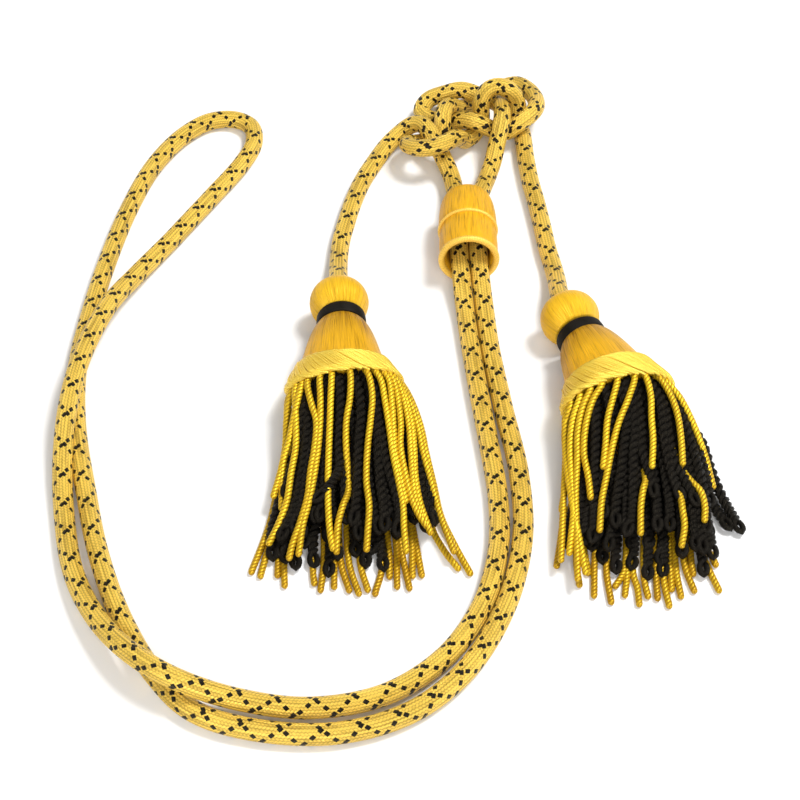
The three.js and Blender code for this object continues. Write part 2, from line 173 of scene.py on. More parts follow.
def carried_frames(points: np.ndarray, first: Row) -> tuple[np.ndarray, np.ndarray]:
    """Normals and binormals carried along a line without twisting.

    Args:
        points: The line's points.
        first: A direction near the wanted first normal.

    Returns:
        The normals and the binormals, one of each for each point.
    """
    tangents = unit(np.gradient(points, axis=0))
    normals = np.empty_like(points)
    normal = np.asarray(first, float)
    for i, tangent in enumerate(tangents):
        normal = normal - tangent * float(normal @ tangent)
        normal = normal / np.linalg.norm(normal)
        normals[i] = normal
    return normals, np.cross(tangents, normals)


@dataclass
class MeshDraft:
    """Surface patches gathered for one piece, each with its own pattern coordinates.

    The pattern coordinates are millimetres along and turns around, kept as a UV map.
    """

    name: str
    points: list[np.ndarray] = field(default_factory=list)
    faces: list[list[int]] = field(default_factory=list)
    coords: list[np.ndarray] = field(default_factory=list)
    tones: list[np.ndarray] = field(default_factory=list)
    count: int = 0

    def skin(self, rings: np.ndarray, along: np.ndarray, tone: float = 0.5,
             turns: np.ndarray | None = None, capped: bool = True) -> None:
        """Adds a skin over rings of points.

        Args:
            rings: Points in mm, as ring, place on the ring, axis. The rings are closed.
            along: The first pattern coordinate of each ring.
            tone: A number that tells this strand from the others.
            turns: The second pattern coordinate round a ring, one more than its points.
            capped: Whether the first and last rings are closed by a flat face.
        """
        rows, sides = rings.shape[:2]
        turns = np.linspace(0, 1, sides + 1) if turns is None else turns
        row, side = np.meshgrid(np.arange(rows - 1), np.arange(sides), indexing="ij")
        after = (side + 1) % sides
        corners = [row * sides + side, row * sides + after,
                   (row + 1) * sides + after, (row + 1) * sides + side]
        quads = np.stack(corners, axis=-1).reshape(-1, 4) + self.count
        grid = [(along[row], turns[side]), (along[row], turns[side + 1]),
                (along[row + 1], turns[side + 1]), (along[row + 1], turns[side])]
        self.faces.extend(quads.tolist())
        self.coords.append(np.stack([np.stack(c, -1) for c in grid], -2).reshape(-1, 2))
        if capped:
            for ring, order in ((0, -1), (rows - 1, 1)):
                face = (np.arange(sides) + ring * sides + self.count)[::order]
                self.faces.append(face.tolist())
                flat = np.stack([np.full(sides, along[ring]), turns[:-1][::order]], -1)
                self.coords.append(flat)
        self.points.append(rings.reshape(-1, 3))
        self.tones.append(np.full(rows * sides, tone))
        self.count += rows * sides

    def tube(self, points: np.ndarray, radius: np.ndarray | float, sides: int,
             tone: float = 0.5, first: Row = (0, 0, -1), rounded: bool = True) -> None:
        """Adds a tube along points.

        Args:
            points: The middle line in mm.
            radius: One radius, or one for each point, or for each point and corner.
            sides: How many sides the section has.
            tone: A number that tells this strand from the others.
            first: Where the section's first corner points.
            rounded: Whether the ends are domed.
        """
        radius = np.asarray(radius, float)
        radius = radius[:, None] if radius.ndim == 1 else radius
        radius = np.broadcast_to(radius, (len(points), sides))
        before = len(DOME_ANGLES) if rounded else 0
        if rounded:
            points, radius = domed_ends(points, radius)
        normals, binormals = carried_frames(points, first)
        angle = np.linspace(0, 2 * math.pi, sides, endpoint=False)
        offsets = (normals[:, None] * np.cos(angle)[None, :, None]
                   + binormals[:, None] * np.sin(angle)[None, :, None])
        rings = points[:, None] + offsets * radius[:, :, None]
        along = measured(points)
        self.skin(rings, along - along[before], tone)

    def finish(self, finish: Finish, slot: Slot, *nodes: str) -> bpy.types.Object:
        """Makes the Blender object, dresses it, hangs it from the root body and hides the CAD nodes
        it stands for.

        Args:
            finish: What it is dressed in.
            slot: The record's material slot; not used.
            nodes: The CAD nodes that the piece replaces.

        Returns:
            The new object.
        """
        mesh = bpy.data.meshes.new(self.name)
        mesh.from_pydata((np.concatenate(self.points) * MM).tolist(), [], self.faces)
        layer = mesh.uv_layers.new(name="pattern")
        layer.data.foreach_set("uv", np.concatenate(self.coords).astype(np.float32).ravel())
        tone = mesh.attributes.new("tone", "FLOAT", "POINT")
        tone.data.foreach_set("value", np.concatenate(self.tones).astype(np.float32))
        mesh.polygons.foreach_set("use_smooth", np.ones(len(mesh.polygons), bool))
        mesh.materials.append(finish.material())
        mesh.update()
        piece = bpy.data.objects.new(self.name, mesh)
        bpy.context.scene.collection.objects.link(piece)
        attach(piece, "root")
        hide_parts(*nodes)
        LOG.info("%s: %d triangles", self.name, sum(len(face) - 2 for face in self.faces))
        return piece


def domed_ends(points: np.ndarray, radius: np.ndarray) -> tuple[np.ndarray, np.ndarray]:
    """Adds shrinking sections beyond each end of a tube.

    Args:
        points: The tube's middle line.
        radius: Its radius at each point.

    Returns:
        The longer line and its radii.
    """
    lean = np.radians(DOME_ANGLES)[:, None]
    start, end = unit(points[0] - points[1]), unit(points[-1] - points[-2])
    head = points[0] + start * (np.sin(lean) * radius[0].mean())[::-1]
    tail = points[-1] + end * (np.sin(lean) * radius[-1].mean())
    radii = [(np.cos(lean) * radius[0])[::-1], radius, np.cos(lean) * radius[-1]]
    return np.vstack([head, points, tail]), np.vstack(radii)


# Shader patterns


class Graph:
    """Adds nodes to a tree and wires them, so that a pattern reads as a formula."""

    def __init__(self, tree: bpy.types.NodeTree) -> None:
        """Keeps the tree that the nodes go into."""
        self.tree = tree

    def node(self, kind: str, inputs: dict[str | int, Value] | None = None,
             **settings: object) -> bpy.types.Node:
        """Adds one node.

        Args:
            kind: Its Blender type.
            inputs: Values or sockets for its inputs, by name or number.
            settings: Its own properties.

        Returns:
            The node.
        """
        node = self.tree.nodes.new(kind)
        for key, value in settings.items():
            setattr(node, key, value)
        for key, value in (inputs or {}).items():
            self.feed(node.inputs[key], value)
        return node

    def feed(self, socket: Socket, value: Value) -> None:
        """Links a socket into an input, or sets the input's own value.

        Args:
            socket: The input.
            value: What goes into it.
        """
        if isinstance(value, bpy.types.NodeSocket):
            self.tree.links.new(value, socket)
        else:
            socket.default_value = value

    def math(self, operation: str, *values: Value) -> Socket:
        """The result of a Math node."""
        node = self.node("ShaderNodeMath", dict(enumerate(values)), operation=operation)
        return node.outputs[0]

    def add(self, value: Value, scale: Value, start: Value) -> Socket:
        """A value scaled and then added to another."""
        return self.math("MULTIPLY_ADD", value, scale, start)

    def product(self, *values: Value) -> Socket:
        """Values multiplied in order."""
        return functools.reduce(lambda one, other: self.math("MULTIPLY", one, other), values)

    def rescale(self, value: Value, start: float, end: float, low: float,
                high: float) -> Socket:
        """A value taken from one range to another and kept inside it."""
        ranges = {0: value, 1: start, 2: end, 3: low, 4: high}
        return self.node("ShaderNodeMapRange", ranges).outputs[0]

    def blend(self, share: Value, low: Value, high: Value) -> Socket:
        """A number between two others."""
        node = self.node("ShaderNodeMix", {0: share, 2: low, 3: high}, data_type="FLOAT")
        return node.outputs[0]

    def colour(self, share: Value, low: Value, high: Value) -> Socket:
        """A colour between two others."""
        node = self.node("ShaderNodeMix", {0: share, 6: low, 7: high}, data_type="RGBA")
        return node.outputs[2]

    def ripple(self, phase: Value, power: float = 1.0) -> Socket:
        """A row of rounded ridges, one for each whole step of the phase."""
        wave = self.math("ABSOLUTE", self.math("SINE", self.math("MULTIPLY", phase, math.pi)))
        return self.math("POWER", wave, power)

    def random(self, number: Value) -> Socket:
        """A value from 0 to 1 that differs from one whole number to the next."""
        node = self.node("ShaderNodeTexWhiteNoise", {"W": number}, noise_dimensions="1D")
        return node.outputs["Value"]

    def noise(self, place: Value, scale: Value, detail: float) -> Socket:
        """Soft noise in space, from 0 to 1."""
        node = self.node("ShaderNodeTexNoise", {"Vector": place, "Scale": scale, "Detail": detail})
        return node.outputs[0]

    def group(self, tree: bpy.types.NodeTree, values: dict[str, Value]) -> Sockets:
        """A pattern group's outputs by name, with its inputs set by name."""
        node = self.node("ShaderNodeGroup", values, node_tree=tree)
        return {socket.name: socket for socket in node.outputs}


def pattern_group(name: str, inputs: dict[str, float], outputs: Sequence[str],
                  draw: Callable[[Graph, Sockets], Sockets]) -> bpy.types.NodeTree:
    """Builds a node group with named number sockets.

    Args:
        name: The group's name.
        inputs: Its inputs and their usual values.
        outputs: The names of its outputs.
        draw: Draws the pattern from the input sockets and gives the output sockets.

    Returns:
        The group's tree.
    """
    tree = bpy.data.node_groups.new(name, "ShaderNodeTree")
    for label, value in inputs.items():
        socket = tree.interface.new_socket(label, in_out="INPUT", socket_type="NodeSocketFloat")
        socket.default_value = value
    for label in outputs:
        tree.interface.new_socket(label, in_out="OUTPUT", socket_type="NodeSocketFloat")
    graph = Graph(tree)
    entry = graph.node("NodeGroupInput")
    results = draw(graph, {label: entry.outputs[label] for label in inputs})
    graph.node("NodeGroupOutput", results)
    return tree


# How deep the braid's relief is over each float's length, over its width and over each
# column of floats, how high a column's edge stands, and how the fibres lie.
FLOAT_DEPTH = 0.55
EDGE_DEPTH = 0.34
COLUMN_DEPTH = 0.48
COLUMN_EDGE = 0.54
FIBRES_ACROSS = 5.0
FIBRE_LAY = 7.0


@functools.cache
def braid_group() -> bpy.types.NodeTree:
    """Two-over two-under tubular braid, in which two carriers each way are dark.

    Returns:
        The group's tree.
    """

    def draw(g: Graph, i: Sockets) -> Sockets:
        """Draws the braid.

        Args:
            g: The group's graph.
            i: Its input sockets, by name.

        Returns:
            Its output sockets, by name.
        """
        turn = g.math("DIVIDE", i["Along"], i["Pitch"])
        right = g.product(i["Carriers"], g.math("ADD", i["Around"], turn))
        left = g.product(i["Carriers"], g.math("SUBTRACT", i["Around"], turn))
        row, column = g.math("FLOOR", right), g.math("FLOOR", left)
        across_right, across_left = g.math("FRACT", right), g.math("FRACT", left)
        step = g.math("FLOORED_MODULO", g.math("ADD", row, column), 4.0)
        over = g.math("LESS_THAN", step, 1.5)
        across = g.blend(over, across_left, across_right)
        float_right = g.product(g.math("ADD", step, across_left), 0.5)
        float_left = g.add(g.math("ADD", step, across_right), 0.5, -1.0)
        place = g.blend(over, float_left, float_right)
        crown = g.add(g.ripple(place), FLOAT_DEPTH, 1 - FLOAT_DEPTH)
        edge = g.add(g.ripple(across, 0.6), EDGE_DEPTH, 1 - EDGE_DEPTH)
        column_phase = g.add(i["Around"], i["Carriers"], -0.25)
        columns = g.add(g.ripple(column_phase, 0.6), COLUMN_DEPTH, COLUMN_EDGE)
        half = g.product(i["Carriers"], 0.5)
        flecks = []
        for phase, crossing, first in ((right, column, 0.0), (left, row, 2.0)):
            middle = g.math("SUBTRACT", phase, 0.5)
            dark = g.product(half, g.math("ROUND", g.math("DIVIDE", middle, half)))
            near = g.math("LESS_THAN", g.math("ABSOLUTE", g.math("SUBTRACT", middle, dark)),
                          i["Fleck Width"])
            turn_over = g.math("ADD", g.math("ADD", dark, crossing), first)
            on_top = g.math("LESS_THAN", g.math("FLOORED_MODULO", turn_over, 4.0), 1.5)
            flecks.append(g.product(near, on_top))
        yarn = g.blend(over, g.math("ADD", column, 0.37), g.math("ADD", row, 0.71))
        lay = g.blend(over, g.product(across_right, FIBRE_LAY), g.product(across_left, FIBRE_LAY))
        # Lean, the way the float on top runs, drives the painted sheen in the braid's finish.
        return {"Relief": g.product(edge, crown, columns), "Fleck": g.math("MAXIMUM", *flecks),
                "Yarn": g.random(yarn), "Lean": over,
                "Fibre": g.ripple(g.add(across, FIBRES_ACROSS, lay), 0.7)}

    inputs = {"Along": 0.0, "Around": 0.0, "Carriers": 20.0, "Pitch": 21.0, "Fleck Width": 0.84}
    outputs = ("Relief", "Fleck", "Yarn", "Fibre", "Lean")
    return pattern_group("tubular_braid", inputs, outputs, draw)


@functools.cache
def thread_group() -> bpy.types.NodeTree:
    """Fine threads laid side by side round a turned form, with long uneven streaks.

    Returns:
        The group's tree.
    """

    def draw(g: Graph, i: Sockets) -> Sockets:
        """Draws the threads.

        Args:
            g: The group's graph.
            i: Its input sockets, by name.

        Returns:
            Its output sockets, by name.
        """
        angle = g.product(i["Around"], 2 * math.pi)
        reach = g.math("DIVIDE", i["Threads"], 9.0)
        spot = {0: g.product(g.math("COSINE", angle), reach),
                1: g.product(g.math("SINE", angle), reach),
                2: g.product(i["Along"], i["Streak"])}
        streak = g.noise(g.node("ShaderNodeCombineXYZ", spot).outputs[0], 1.0, 3.0)
        drift = g.product(g.math("SUBTRACT", streak, 0.5), i["Wander"])
        lean = g.add(i["Along"], i["Slant"], i["Around"])
        phase = g.add(lean, i["Threads"], drift)
        number = g.math("FLOORED_MODULO", g.math("FLOOR", phase), i["Threads"])
        return {"Relief": g.ripple(phase, 0.7), "Thread": g.random(number), "Streak": streak}

    inputs = {"Along": 0.0, "Around": 0.0, "Threads": 160.0, "Slant": 0.0, "Streak": 0.12,
              "Wander": 2.0}
    return pattern_group("laid_threads", inputs, ("Relief", "Thread", "Streak"), draw)


@functools.cache
def coil_group() -> bpy.types.NodeTree:
    """Fine wires wound side by side round a strand.

    Returns:
        The group's tree.
    """

    def draw(g: Graph, i: Sockets) -> Sockets:
        """Draws the coil.

        Args:
            g: The group's graph.
            i: Its input sockets, by name.

        Returns:
            Its output sockets, by name.
        """
        climb = g.product(i["Around"], i["Wires"])
        phase = g.math("SUBTRACT", g.math("DIVIDE", i["Along"], i["Pitch"]), climb)
        worn = g.random(g.math("ADD", g.math("FLOOR", phase), i["Strand"]))
        return {"Relief": g.ripple(phase, 0.65), "Turn": worn}

    inputs = {"Along": 0.0, "Around": 0.0, "Pitch": 1.3, "Wires": 3.0, "Strand": 0.0}
    return pattern_group("wire_coil", inputs, ("Relief", "Turn"), draw)


@functools.cache
def nap_group() -> bpy.types.NodeTree:
    """Soft unevenness in space: broad patches and a fine nap.

    Returns:
        The group's tree.
    """

    def draw(g: Graph, i: Sockets) -> Sockets:
        """Draws the two sizes of noise and gives both."""
        place = g.node("ShaderNodeTexCoord").outputs["Object"]
        return {label: g.noise(place, g.math("DIVIDE", 1 / MM, i[f"{label} Size"]), 2.0)
                for label in ("Patch", "Nap")}

    return pattern_group("soft_nap", {"Patch Size": 14.0, "Nap Size": 0.4}, ("Patch", "Nap"), draw)


# Finishes


@dataclass(frozen=True)
class Pattern:
    """What a surface is drawn from: its place on the mesh and soft unevenness in space."""

    place: Sockets
    along: Socket
    tone: Socket
    patch: Socket
    nap: Socket


class Finish:
    """A finish: makes its material once, from the values that a subclass holds."""

    name: str
    # light and deep are the ends of a finish's colour range; where a finish blends towards deep by
    # its relief, that is painted shade in grooves and gaps.
    light: Colour
    deep: Colour
    patch_mm: float
    nap_mm: float
    roughness: float
    roughness_spread: float
    relief_mm: float
    gloss: float
    metal: float
    gloss_tint: Colour

    def material(self) -> bpy.types.Material:
        """The finish's material, built the first time that it is asked for."""
        known = bpy.data.materials.get(self.name)
        return known or self.build()

    def build(self) -> bpy.types.Material:
        """Builds the material round one Principled shader.

        Returns:
            The new material.
        """
        material = bpy.data.materials.new(self.name)
        material.use_nodes = True
        material.node_tree.nodes.clear()
        graph = Graph(material.node_tree)
        at = self.pattern(graph)
        colour, height = self.surface(graph, at)
        roughness = graph.add(at.nap, self.roughness_spread,
                              self.roughness - self.roughness_spread / 2)
        bump = graph.node("ShaderNodeBump", {"Height": height, "Distance": self.relief_mm * MM,
                                             "Strength": 1.0})
        shader = graph.node("ShaderNodeBsdfPrincipled", {
            "Base Color": colour, "Roughness": roughness, "Metallic": self.metal,
            "Normal": bump.outputs[0], "Specular IOR Level": self.gloss,
            "Specular Tint": rgba(self.gloss_tint)})
        graph.node("ShaderNodeOutputMaterial", {"Surface": shader.outputs[0]})
        return material

    def pattern(self, graph: Graph) -> Pattern:
        """Reads the mesh's own pattern coordinates, and adds the finish's unevenness.

        Args:
            graph: The material's graph.

        Returns:
            What the surface is drawn from.
        """
        coords = graph.node("ShaderNodeUVMap", uv_map="pattern").outputs[0]
        along, around, _ = graph.node("ShaderNodeSeparateXYZ", {0: coords}).outputs
        tone = graph.node("ShaderNodeAttribute", attribute_name="tone").outputs["Fac"]
        nap = graph.group(nap_group(), {"Patch Size": self.patch_mm, "Nap Size": self.nap_mm})
        return Pattern({"Along": along, "Around": around}, along, tone, nap["Patch"], nap["Nap"])

    def surface(self, graph: Graph, at: Pattern) -> tuple[Socket, Socket]:
        """Draws the surface.

        Args:
            graph: The material's graph.
            at: What it is drawn from.

        Returns:
            The sockets for colour and bump height.
        """
        raise NotImplementedError

    def shade(self, graph: Graph, *shares: Value) -> Socket:
        """The colour between deep and light that the product of some shares gives."""
        return graph.colour(graph.product(*shares), rgba(self.deep), rgba(self.light))


def rgba(colour: Colour) -> tuple[float, float, float, float]:
    """A colour with full cover."""
    return (*colour, 1.0)


@dataclass(frozen=True)
class BraidFinish(Finish):
    """Braided silky yarns with dark flecks."""

    name: str = "braided_gold"
    light: Colour = (1.0, 0.67, 0.105)
    deep: Colour = (0.2, 0.095, 0.006)
    fleck: Colour = (0.004, 0.003, 0.003)
    patch_mm: float = 9.0
    nap_mm: float = 0.25
    streaks: float = 34.0
    streak: float = 0.07
    painted_sheen_gain: float = 0.28
    yarn_spread: float = 0.2
    patch_spread: float = 0.3
    gap_shade_power: float = 0.8
    fibre_height: float = 0.12
    roughness: float = 0.31
    roughness_spread: float = 0.2
    relief_mm: float = 0.34
    gloss: float = 0.42
    metal: float = 0.3
    gloss_tint: Colour = (1.0, 0.9, 0.62)

    def surface(self, graph: Graph, at: Pattern) -> tuple[Socket, Socket]:
        """Draws yarns with painted shade in the gaps, a painted sheen on the floats that run one
        way, and a tone that differs a little from one yarn to the next.

        Args:
            graph: The material's graph.
            at: What it is drawn from.

        Returns:
            The sockets for colour and bump height.
        """
        braid = graph.group(braid_group(), at.place)
        laid = graph.group(thread_group(), at.place | {"Threads": self.streaks,
                                                       "Streak": self.streak})
        yarn = graph.add(braid["Yarn"], self.yarn_spread, 0.98)
        # Painted sheen: floats that run one way are painted brighter, by painted_sheen_gain.
        gold = self.shade(graph, graph.add(braid["Lean"], self.painted_sheen_gain, yarn),
                          graph.add(at.patch, self.patch_spread, 0.86),
                          graph.rescale(laid["Streak"], 0.36, 0.6, 0.6, 1.14),
                          # Painted shade: the colour darkens into the gaps between floats and
                          # columns, following the relief.
                          graph.math("POWER", braid["Relief"], self.gap_shade_power))
        colour = graph.colour(braid["Fleck"], gold, rgba(self.fleck))
        return colour, graph.add(braid["Fibre"], self.fibre_height, braid["Relief"])


@dataclass(frozen=True)
class ThreadFinish(Finish):
    """Fine threads laid over a turned form."""

    name: str = "laid_gold_thread"
    light: Colour = (0.98, 0.54, 0.022)
    deep: Colour = (0.36, 0.15, 0.004)
    patch_mm: float = 12.0
    nap_mm: float = 0.3
    threads: float = 150.0
    slant: float = 0.0
    streak: float = 0.12
    wander: float = 2.0
    uneven: float = 0.35
    groove_shade: float = 0.4
    patch_spread: float = 0.3
    darker_from: float = 0.0
    darker_length: float = 1.0
    darker_depth: float = 0.0
    roughness: float = 0.38
    roughness_spread: float = 0.16
    relief_mm: float = 0.14
    gloss: float = 0.35
    metal: float = 0.1
    gloss_tint: Colour = (1.0, 0.8, 0.42)

    def surface(self, graph: Graph, at: Pattern) -> tuple[Socket, Socket]:
        """Draws threads with a little of their own tone, long darker streaks, painted shade in the
        grooves between threads, and a darkening from one place along.

        Args:
            graph: The material's graph.
            at: What it is drawn from.

        Returns:
            The sockets for colour and bump height.
        """
        laid = graph.group(thread_group(), at.place | {
            "Threads": self.threads, "Slant": self.slant, "Streak": self.streak,
            "Wander": self.wander})
        streak = graph.rescale(laid["Streak"], 0.5, 0.72, 0.0, 2.0 * self.uneven)
        # Darkest before darker_from, fading out over darker_length, more on some threads than
        # others: painted shade deep in the slide's mouth, and on the bell a darkening towards the
        # band.
        root = graph.rescale(at.along, self.darker_from, self.darker_from + self.darker_length,
                             self.darker_depth, 0.0)
        root = graph.product(root, graph.add(laid["Thread"], 1.2, 0.3))
        thread = graph.add(laid["Thread"], 0.6 * self.uneven, 0.92)
        thread = graph.math("SUBTRACT", graph.math("SUBTRACT", thread, streak), root)
        # Painted shade: the colour darkens into the grooves between threads, by groove_shade.
        colour = self.shade(graph, thread, graph.add(laid["Relief"], self.groove_shade, 0.64),
                            graph.add(at.patch, self.patch_spread, 0.85))
        return colour, graph.add(laid["Streak"], -1.2, laid["Relief"])


@dataclass(frozen=True)
class CoilFinish(Finish):
    """Strands covered by bright wires wound side by side."""

    name: str = "bullion_wire"
    light: Colour = (0.88, 0.6, 0.024)
    deep: Colour = (0.27, 0.105, 0.002)
    patch_mm: float = 18.0
    nap_mm: float = 0.35
    pitch: float = 1.3
    wires: float = 3.0
    tone_spread: float = 0.4
    turn_spread: float = 0.2
    tip_darker_from: float = 30.0
    tip_darker_to: float = 72.0
    tip_share: float = 0.68
    roughness: float = 0.4
    roughness_spread: float = 0.2
    relief_mm: float = 0.13
    gloss: float = 0.6
    metal: float = 0.4
    gloss_tint: Colour = (1.0, 0.85, 0.4)

    def surface(self, graph: Graph, at: Pattern) -> tuple[Socket, Socket]:
        """Draws bright turns with painted shade in the grooves between them, a tone for each strand
        and each turn, and darker towards the tips.

        Args:
            graph: The material's graph.
            at: What it is drawn from.

        Returns:
            The sockets for colour and bump height.
        """
        coil = graph.group(coil_group(), at.place | {
            "Pitch": self.pitch, "Wires": self.wires, "Strand": graph.product(at.tone, 997.0)})
        turn = graph.add(coil["Turn"], self.turn_spread, 0.55)
        # Darker towards the tips of the strands, from tip_darker_from to tip_darker_to.
        tip_darker = graph.rescale(at.along, self.tip_darker_from, self.tip_darker_to, 1.0, self.tip_share)
        # Painted shade: the colour darkens into the grooves between turns, following the relief.
        colour = self.shade(graph, graph.add(at.tone, self.tone_spread, turn), coil["Relief"],
                            tip_darker)
        return colour, coil["Relief"]


@dataclass(frozen=True)
class DarkFinish(Finish):
    """Near-black silky yarn of twisted cords and bands."""

    name: str = "black_ply"
    light: Colour = (0.008, 0.007, 0.0065)
    deep: Colour = (0.002, 0.002, 0.002)
    patch_mm: float = 10.0
    nap_mm: float = 0.22
    threads: float = 9.0
    slant: float = 0.16
    streak: float = 0.4
    wander: float = 0.8
    nap_height: float = 1.1
    roughness: float = 0.42
    roughness_spread: float = 0.3
    relief_mm: float = 0.16
    gloss: float = 0.18
    metal: float = 0.0
    gloss_tint: Colour = (1.0, 0.85, 0.6)

    def surface(self, graph: Graph, at: Pattern) -> tuple[Socket, Socket]:
        """Draws fine fibres that wind round each ply, with painted shade between the fibres and a
        soft nap.

        Args:
            graph: The material's graph.
            at: What it is drawn from.

        Returns:
            The sockets for colour and bump height.
        """
        laid = graph.group(thread_group(), at.place | {
            "Threads": self.threads, "Slant": self.slant, "Streak": self.streak,
            "Wander": self.wander})
        # Painted shade: the colour darkens between the fibres, following their relief.
        colour = self.shade(graph, laid["Relief"], graph.add(at.tone, 0.5, 0.5))
        return colour, graph.add(at.nap, self.nap_height, laid["Relief"])


class Slot(Enum):
    """The record's material slots."""

    GOLD_CORD = "gold_cord"
    GOLD_SILK = "gold_silk"
    GOLD_BULLION = "gold_bullion"
    BLACK_CORD = "black_cord"


BRAID = BraidFinish()
# Painted shade: the slide's thread is darkened inside the bore, fading out before the lip of the
# mouth, and its deep colour is made dark for it.
SLIDE_SILK = ThreadFinish(name="slide_thread", threads=150.0, uneven=0.3,
                          light=(0.95, 0.5, 0.017), deep=(0.24, 0.085, 0.003), darker_from=9.0,
                          darker_length=6.0, darker_depth=1.0)
SLIDE_ROLL = CoilFinish(name="slide_roll", light=(1.0, 0.66, 0.11), deep=(0.8, 0.42, 0.04),
                        pitch=0.5, wires=1.0, tip_share=1.0, roughness=0.28, relief_mm=0.07,
                        metal=0.1, gloss=0.9)
BALL_SILK = ThreadFinish(name="ball_thread", threads=210.0, uneven=0.24,
                         light=(1.0, 0.58, 0.022), deep=(0.44, 0.2, 0.006))
# The bell is darker towards the band at its top.
BELL_SILK = ThreadFinish(name="bell_thread", threads=230.0, uneven=0.36, streak=0.09,
                         light=(0.92, 0.49, 0.015), deep=(0.27, 0.11, 0.003), darker_from=12.0,
                         darker_length=12.0, darker_depth=0.75)
# The border's body under the gimp threads is dark brown: painted shade in the gaps between the
# threads.
BORDER_SHADE_BASE = ThreadFinish(name="border_base_painted_shade", threads=120.0, slant=-0.012, uneven=0.4,
                           light=(0.34, 0.15, 0.006), deep=(0.12, 0.045, 0.001))
GIMP = ThreadFinish(name="border_gimp", threads=4.0, slant=0.5, uneven=0.3, wander=0.4,
                    light=(1.0, 0.74, 0.1), deep=(0.5, 0.22, 0.006), roughness=0.24,
                    relief_mm=0.1, metal=0.4, gloss=0.9)
BULLION = CoilFinish()
BLACK_PLY = DarkFinish()
BLACK_BAND = DarkFinish(name="black_band", threads=8.0, slant=0.0, roughness=0.66,
                        light=(0.008, 0.0075, 0.008), relief_mm=0.06)


# The cord


@dataclass
class BraidedCord:
    """One run of the braided cord, from one piece to the next."""

    node: str
    route: list[Row]
    sides: int = 36
    step: float = 1.2
    route_step: float = 8.0

    def build(self) -> bpy.types.Object:
        """Returns:
            The cord's mesh.
        """
        path = Path(self.route)
        points = path.every(self.step)
        points[:, 2] = np.maximum(points[:, 2], CORD_RADIUS)
        draft = MeshDraft(f"{self.node}_braid")
        draft.tube(points, CORD_RADIUS, self.sides, rounded=False)
        piece = draft.finish(BRAID, Slot.GOLD_CORD, self.node)
        return piece


# The slide


@dataclass
class Slide:
    """The barrel that the two runs of cord pass through."""

    x: float = 23.2
    low_end: float = 38.0
    axis_height: float = 9.92
    sides: int = 120
    rows: int = 121
    roll_steps: int = 241
    roll_sides: int = 16
    section: tuple[Row, ...] = (
        # radius, place along
        (7.0, 16), (7.0, 3.4), (7.3, 2), (7.9, 1.2), (8.6, 0.7), (9.2, 1.2), (9.3, 2.4),
        (9.42, 3.6), (9.5, 7), (9.4, 11), (9.15, 13.6), (9.2, 14.8), (9.5, 15.6), (9.45, 20),
        (9.15, 23.5), (8.75, 26), (8.1, 28.2), (7.5, 29.3), (7.1, 29.5), (6.8, 28.9), (6.9, 26),
    )
    rolls: tuple[Row, ...] = (
        # radius of the circle that it follows, place along, its own radius
        (9.3, 14.5, 0.58), (8.85, 1.05, 1.05),
    )

    def ring(self, radius: float, along: float, turns: np.ndarray) -> np.ndarray:
        """Makes a circle round the slide's axis, from its underside round.

        Args:
            radius: Its radius.
            along: Its place along the slide.
            turns: Where its points are, in turns.

        Returns:
            The points.
        """
        angle = 2 * math.pi * turns
        return np.stack([self.x + radius * np.sin(angle),
                         np.full_like(angle, self.low_end + along),
                         self.axis_height - radius * np.cos(angle)], axis=-1)

    def barrel(self, draft: MeshDraft) -> None:
        """Adds the turned barrel, from deep in its mouth out, along the outside and back in.

        Args:
            draft: The mesh that it goes into.
        """
        profile = Path([*self.section, self.section[0]])
        along = np.linspace(0, profile.length, self.rows)
        turns = np.linspace(0, 1, self.sides + 1)
        rings = np.stack([self.ring(r, y, turns[:-1]) for r, y in profile.at(along)])
        draft.skin(rings, along, turns=turns, capped=False)

    def roll(self, draft: MeshDraft, radius: float, along: float, thick: float) -> None:
        """Adds a closed roll round the barrel.

        Args:
            draft: The mesh that it goes into.
            radius: The radius of the circle that the roll's middle follows.
            along: Its place along the slide.
            thick: The roll's own radius.
        """
        turns = np.linspace(0, 1, self.roll_steps)
        around = 2 * math.pi * np.arange(self.roll_sides) / self.roll_sides
        rings = np.stack([self.ring(radius + thick * math.cos(a), along + thick * math.sin(a),
                                    turns) for a in around], axis=1)
        draft.skin(rings, turns * 2 * math.pi * radius, capped=False)

    def build(self) -> list[bpy.types.Object]:
        """Builds the barrel, the ridge round its middle and the roll at its mouth.

        Returns:
            The barrel and the two rolls, as two pieces.
        """
        barrel = MeshDraft("slide_barrel")
        self.barrel(barrel)
        rolls = MeshDraft("slide_rolls")
        for radius, along, thick in self.rolls:
            self.roll(rolls, radius, along, thick)
        return [barrel.finish(SLIDE_SILK, Slot.GOLD_SILK, "slide"),
                rolls.finish(SLIDE_ROLL, Slot.GOLD_SILK, "slide")]


# Tassels


FRINGE_ENVELOPE: tuple[Row, ...] = (
    # along, half width, height above the table
    (39, 17.2, 22.4), (42, 18.6, 22), (49, 20.2, 20.5), (57, 21.3, 18), (72, 22.8, 14.5),
    (86, 23.8, 11.5), (100, 25, 8), (112, 26, 4.5),
)


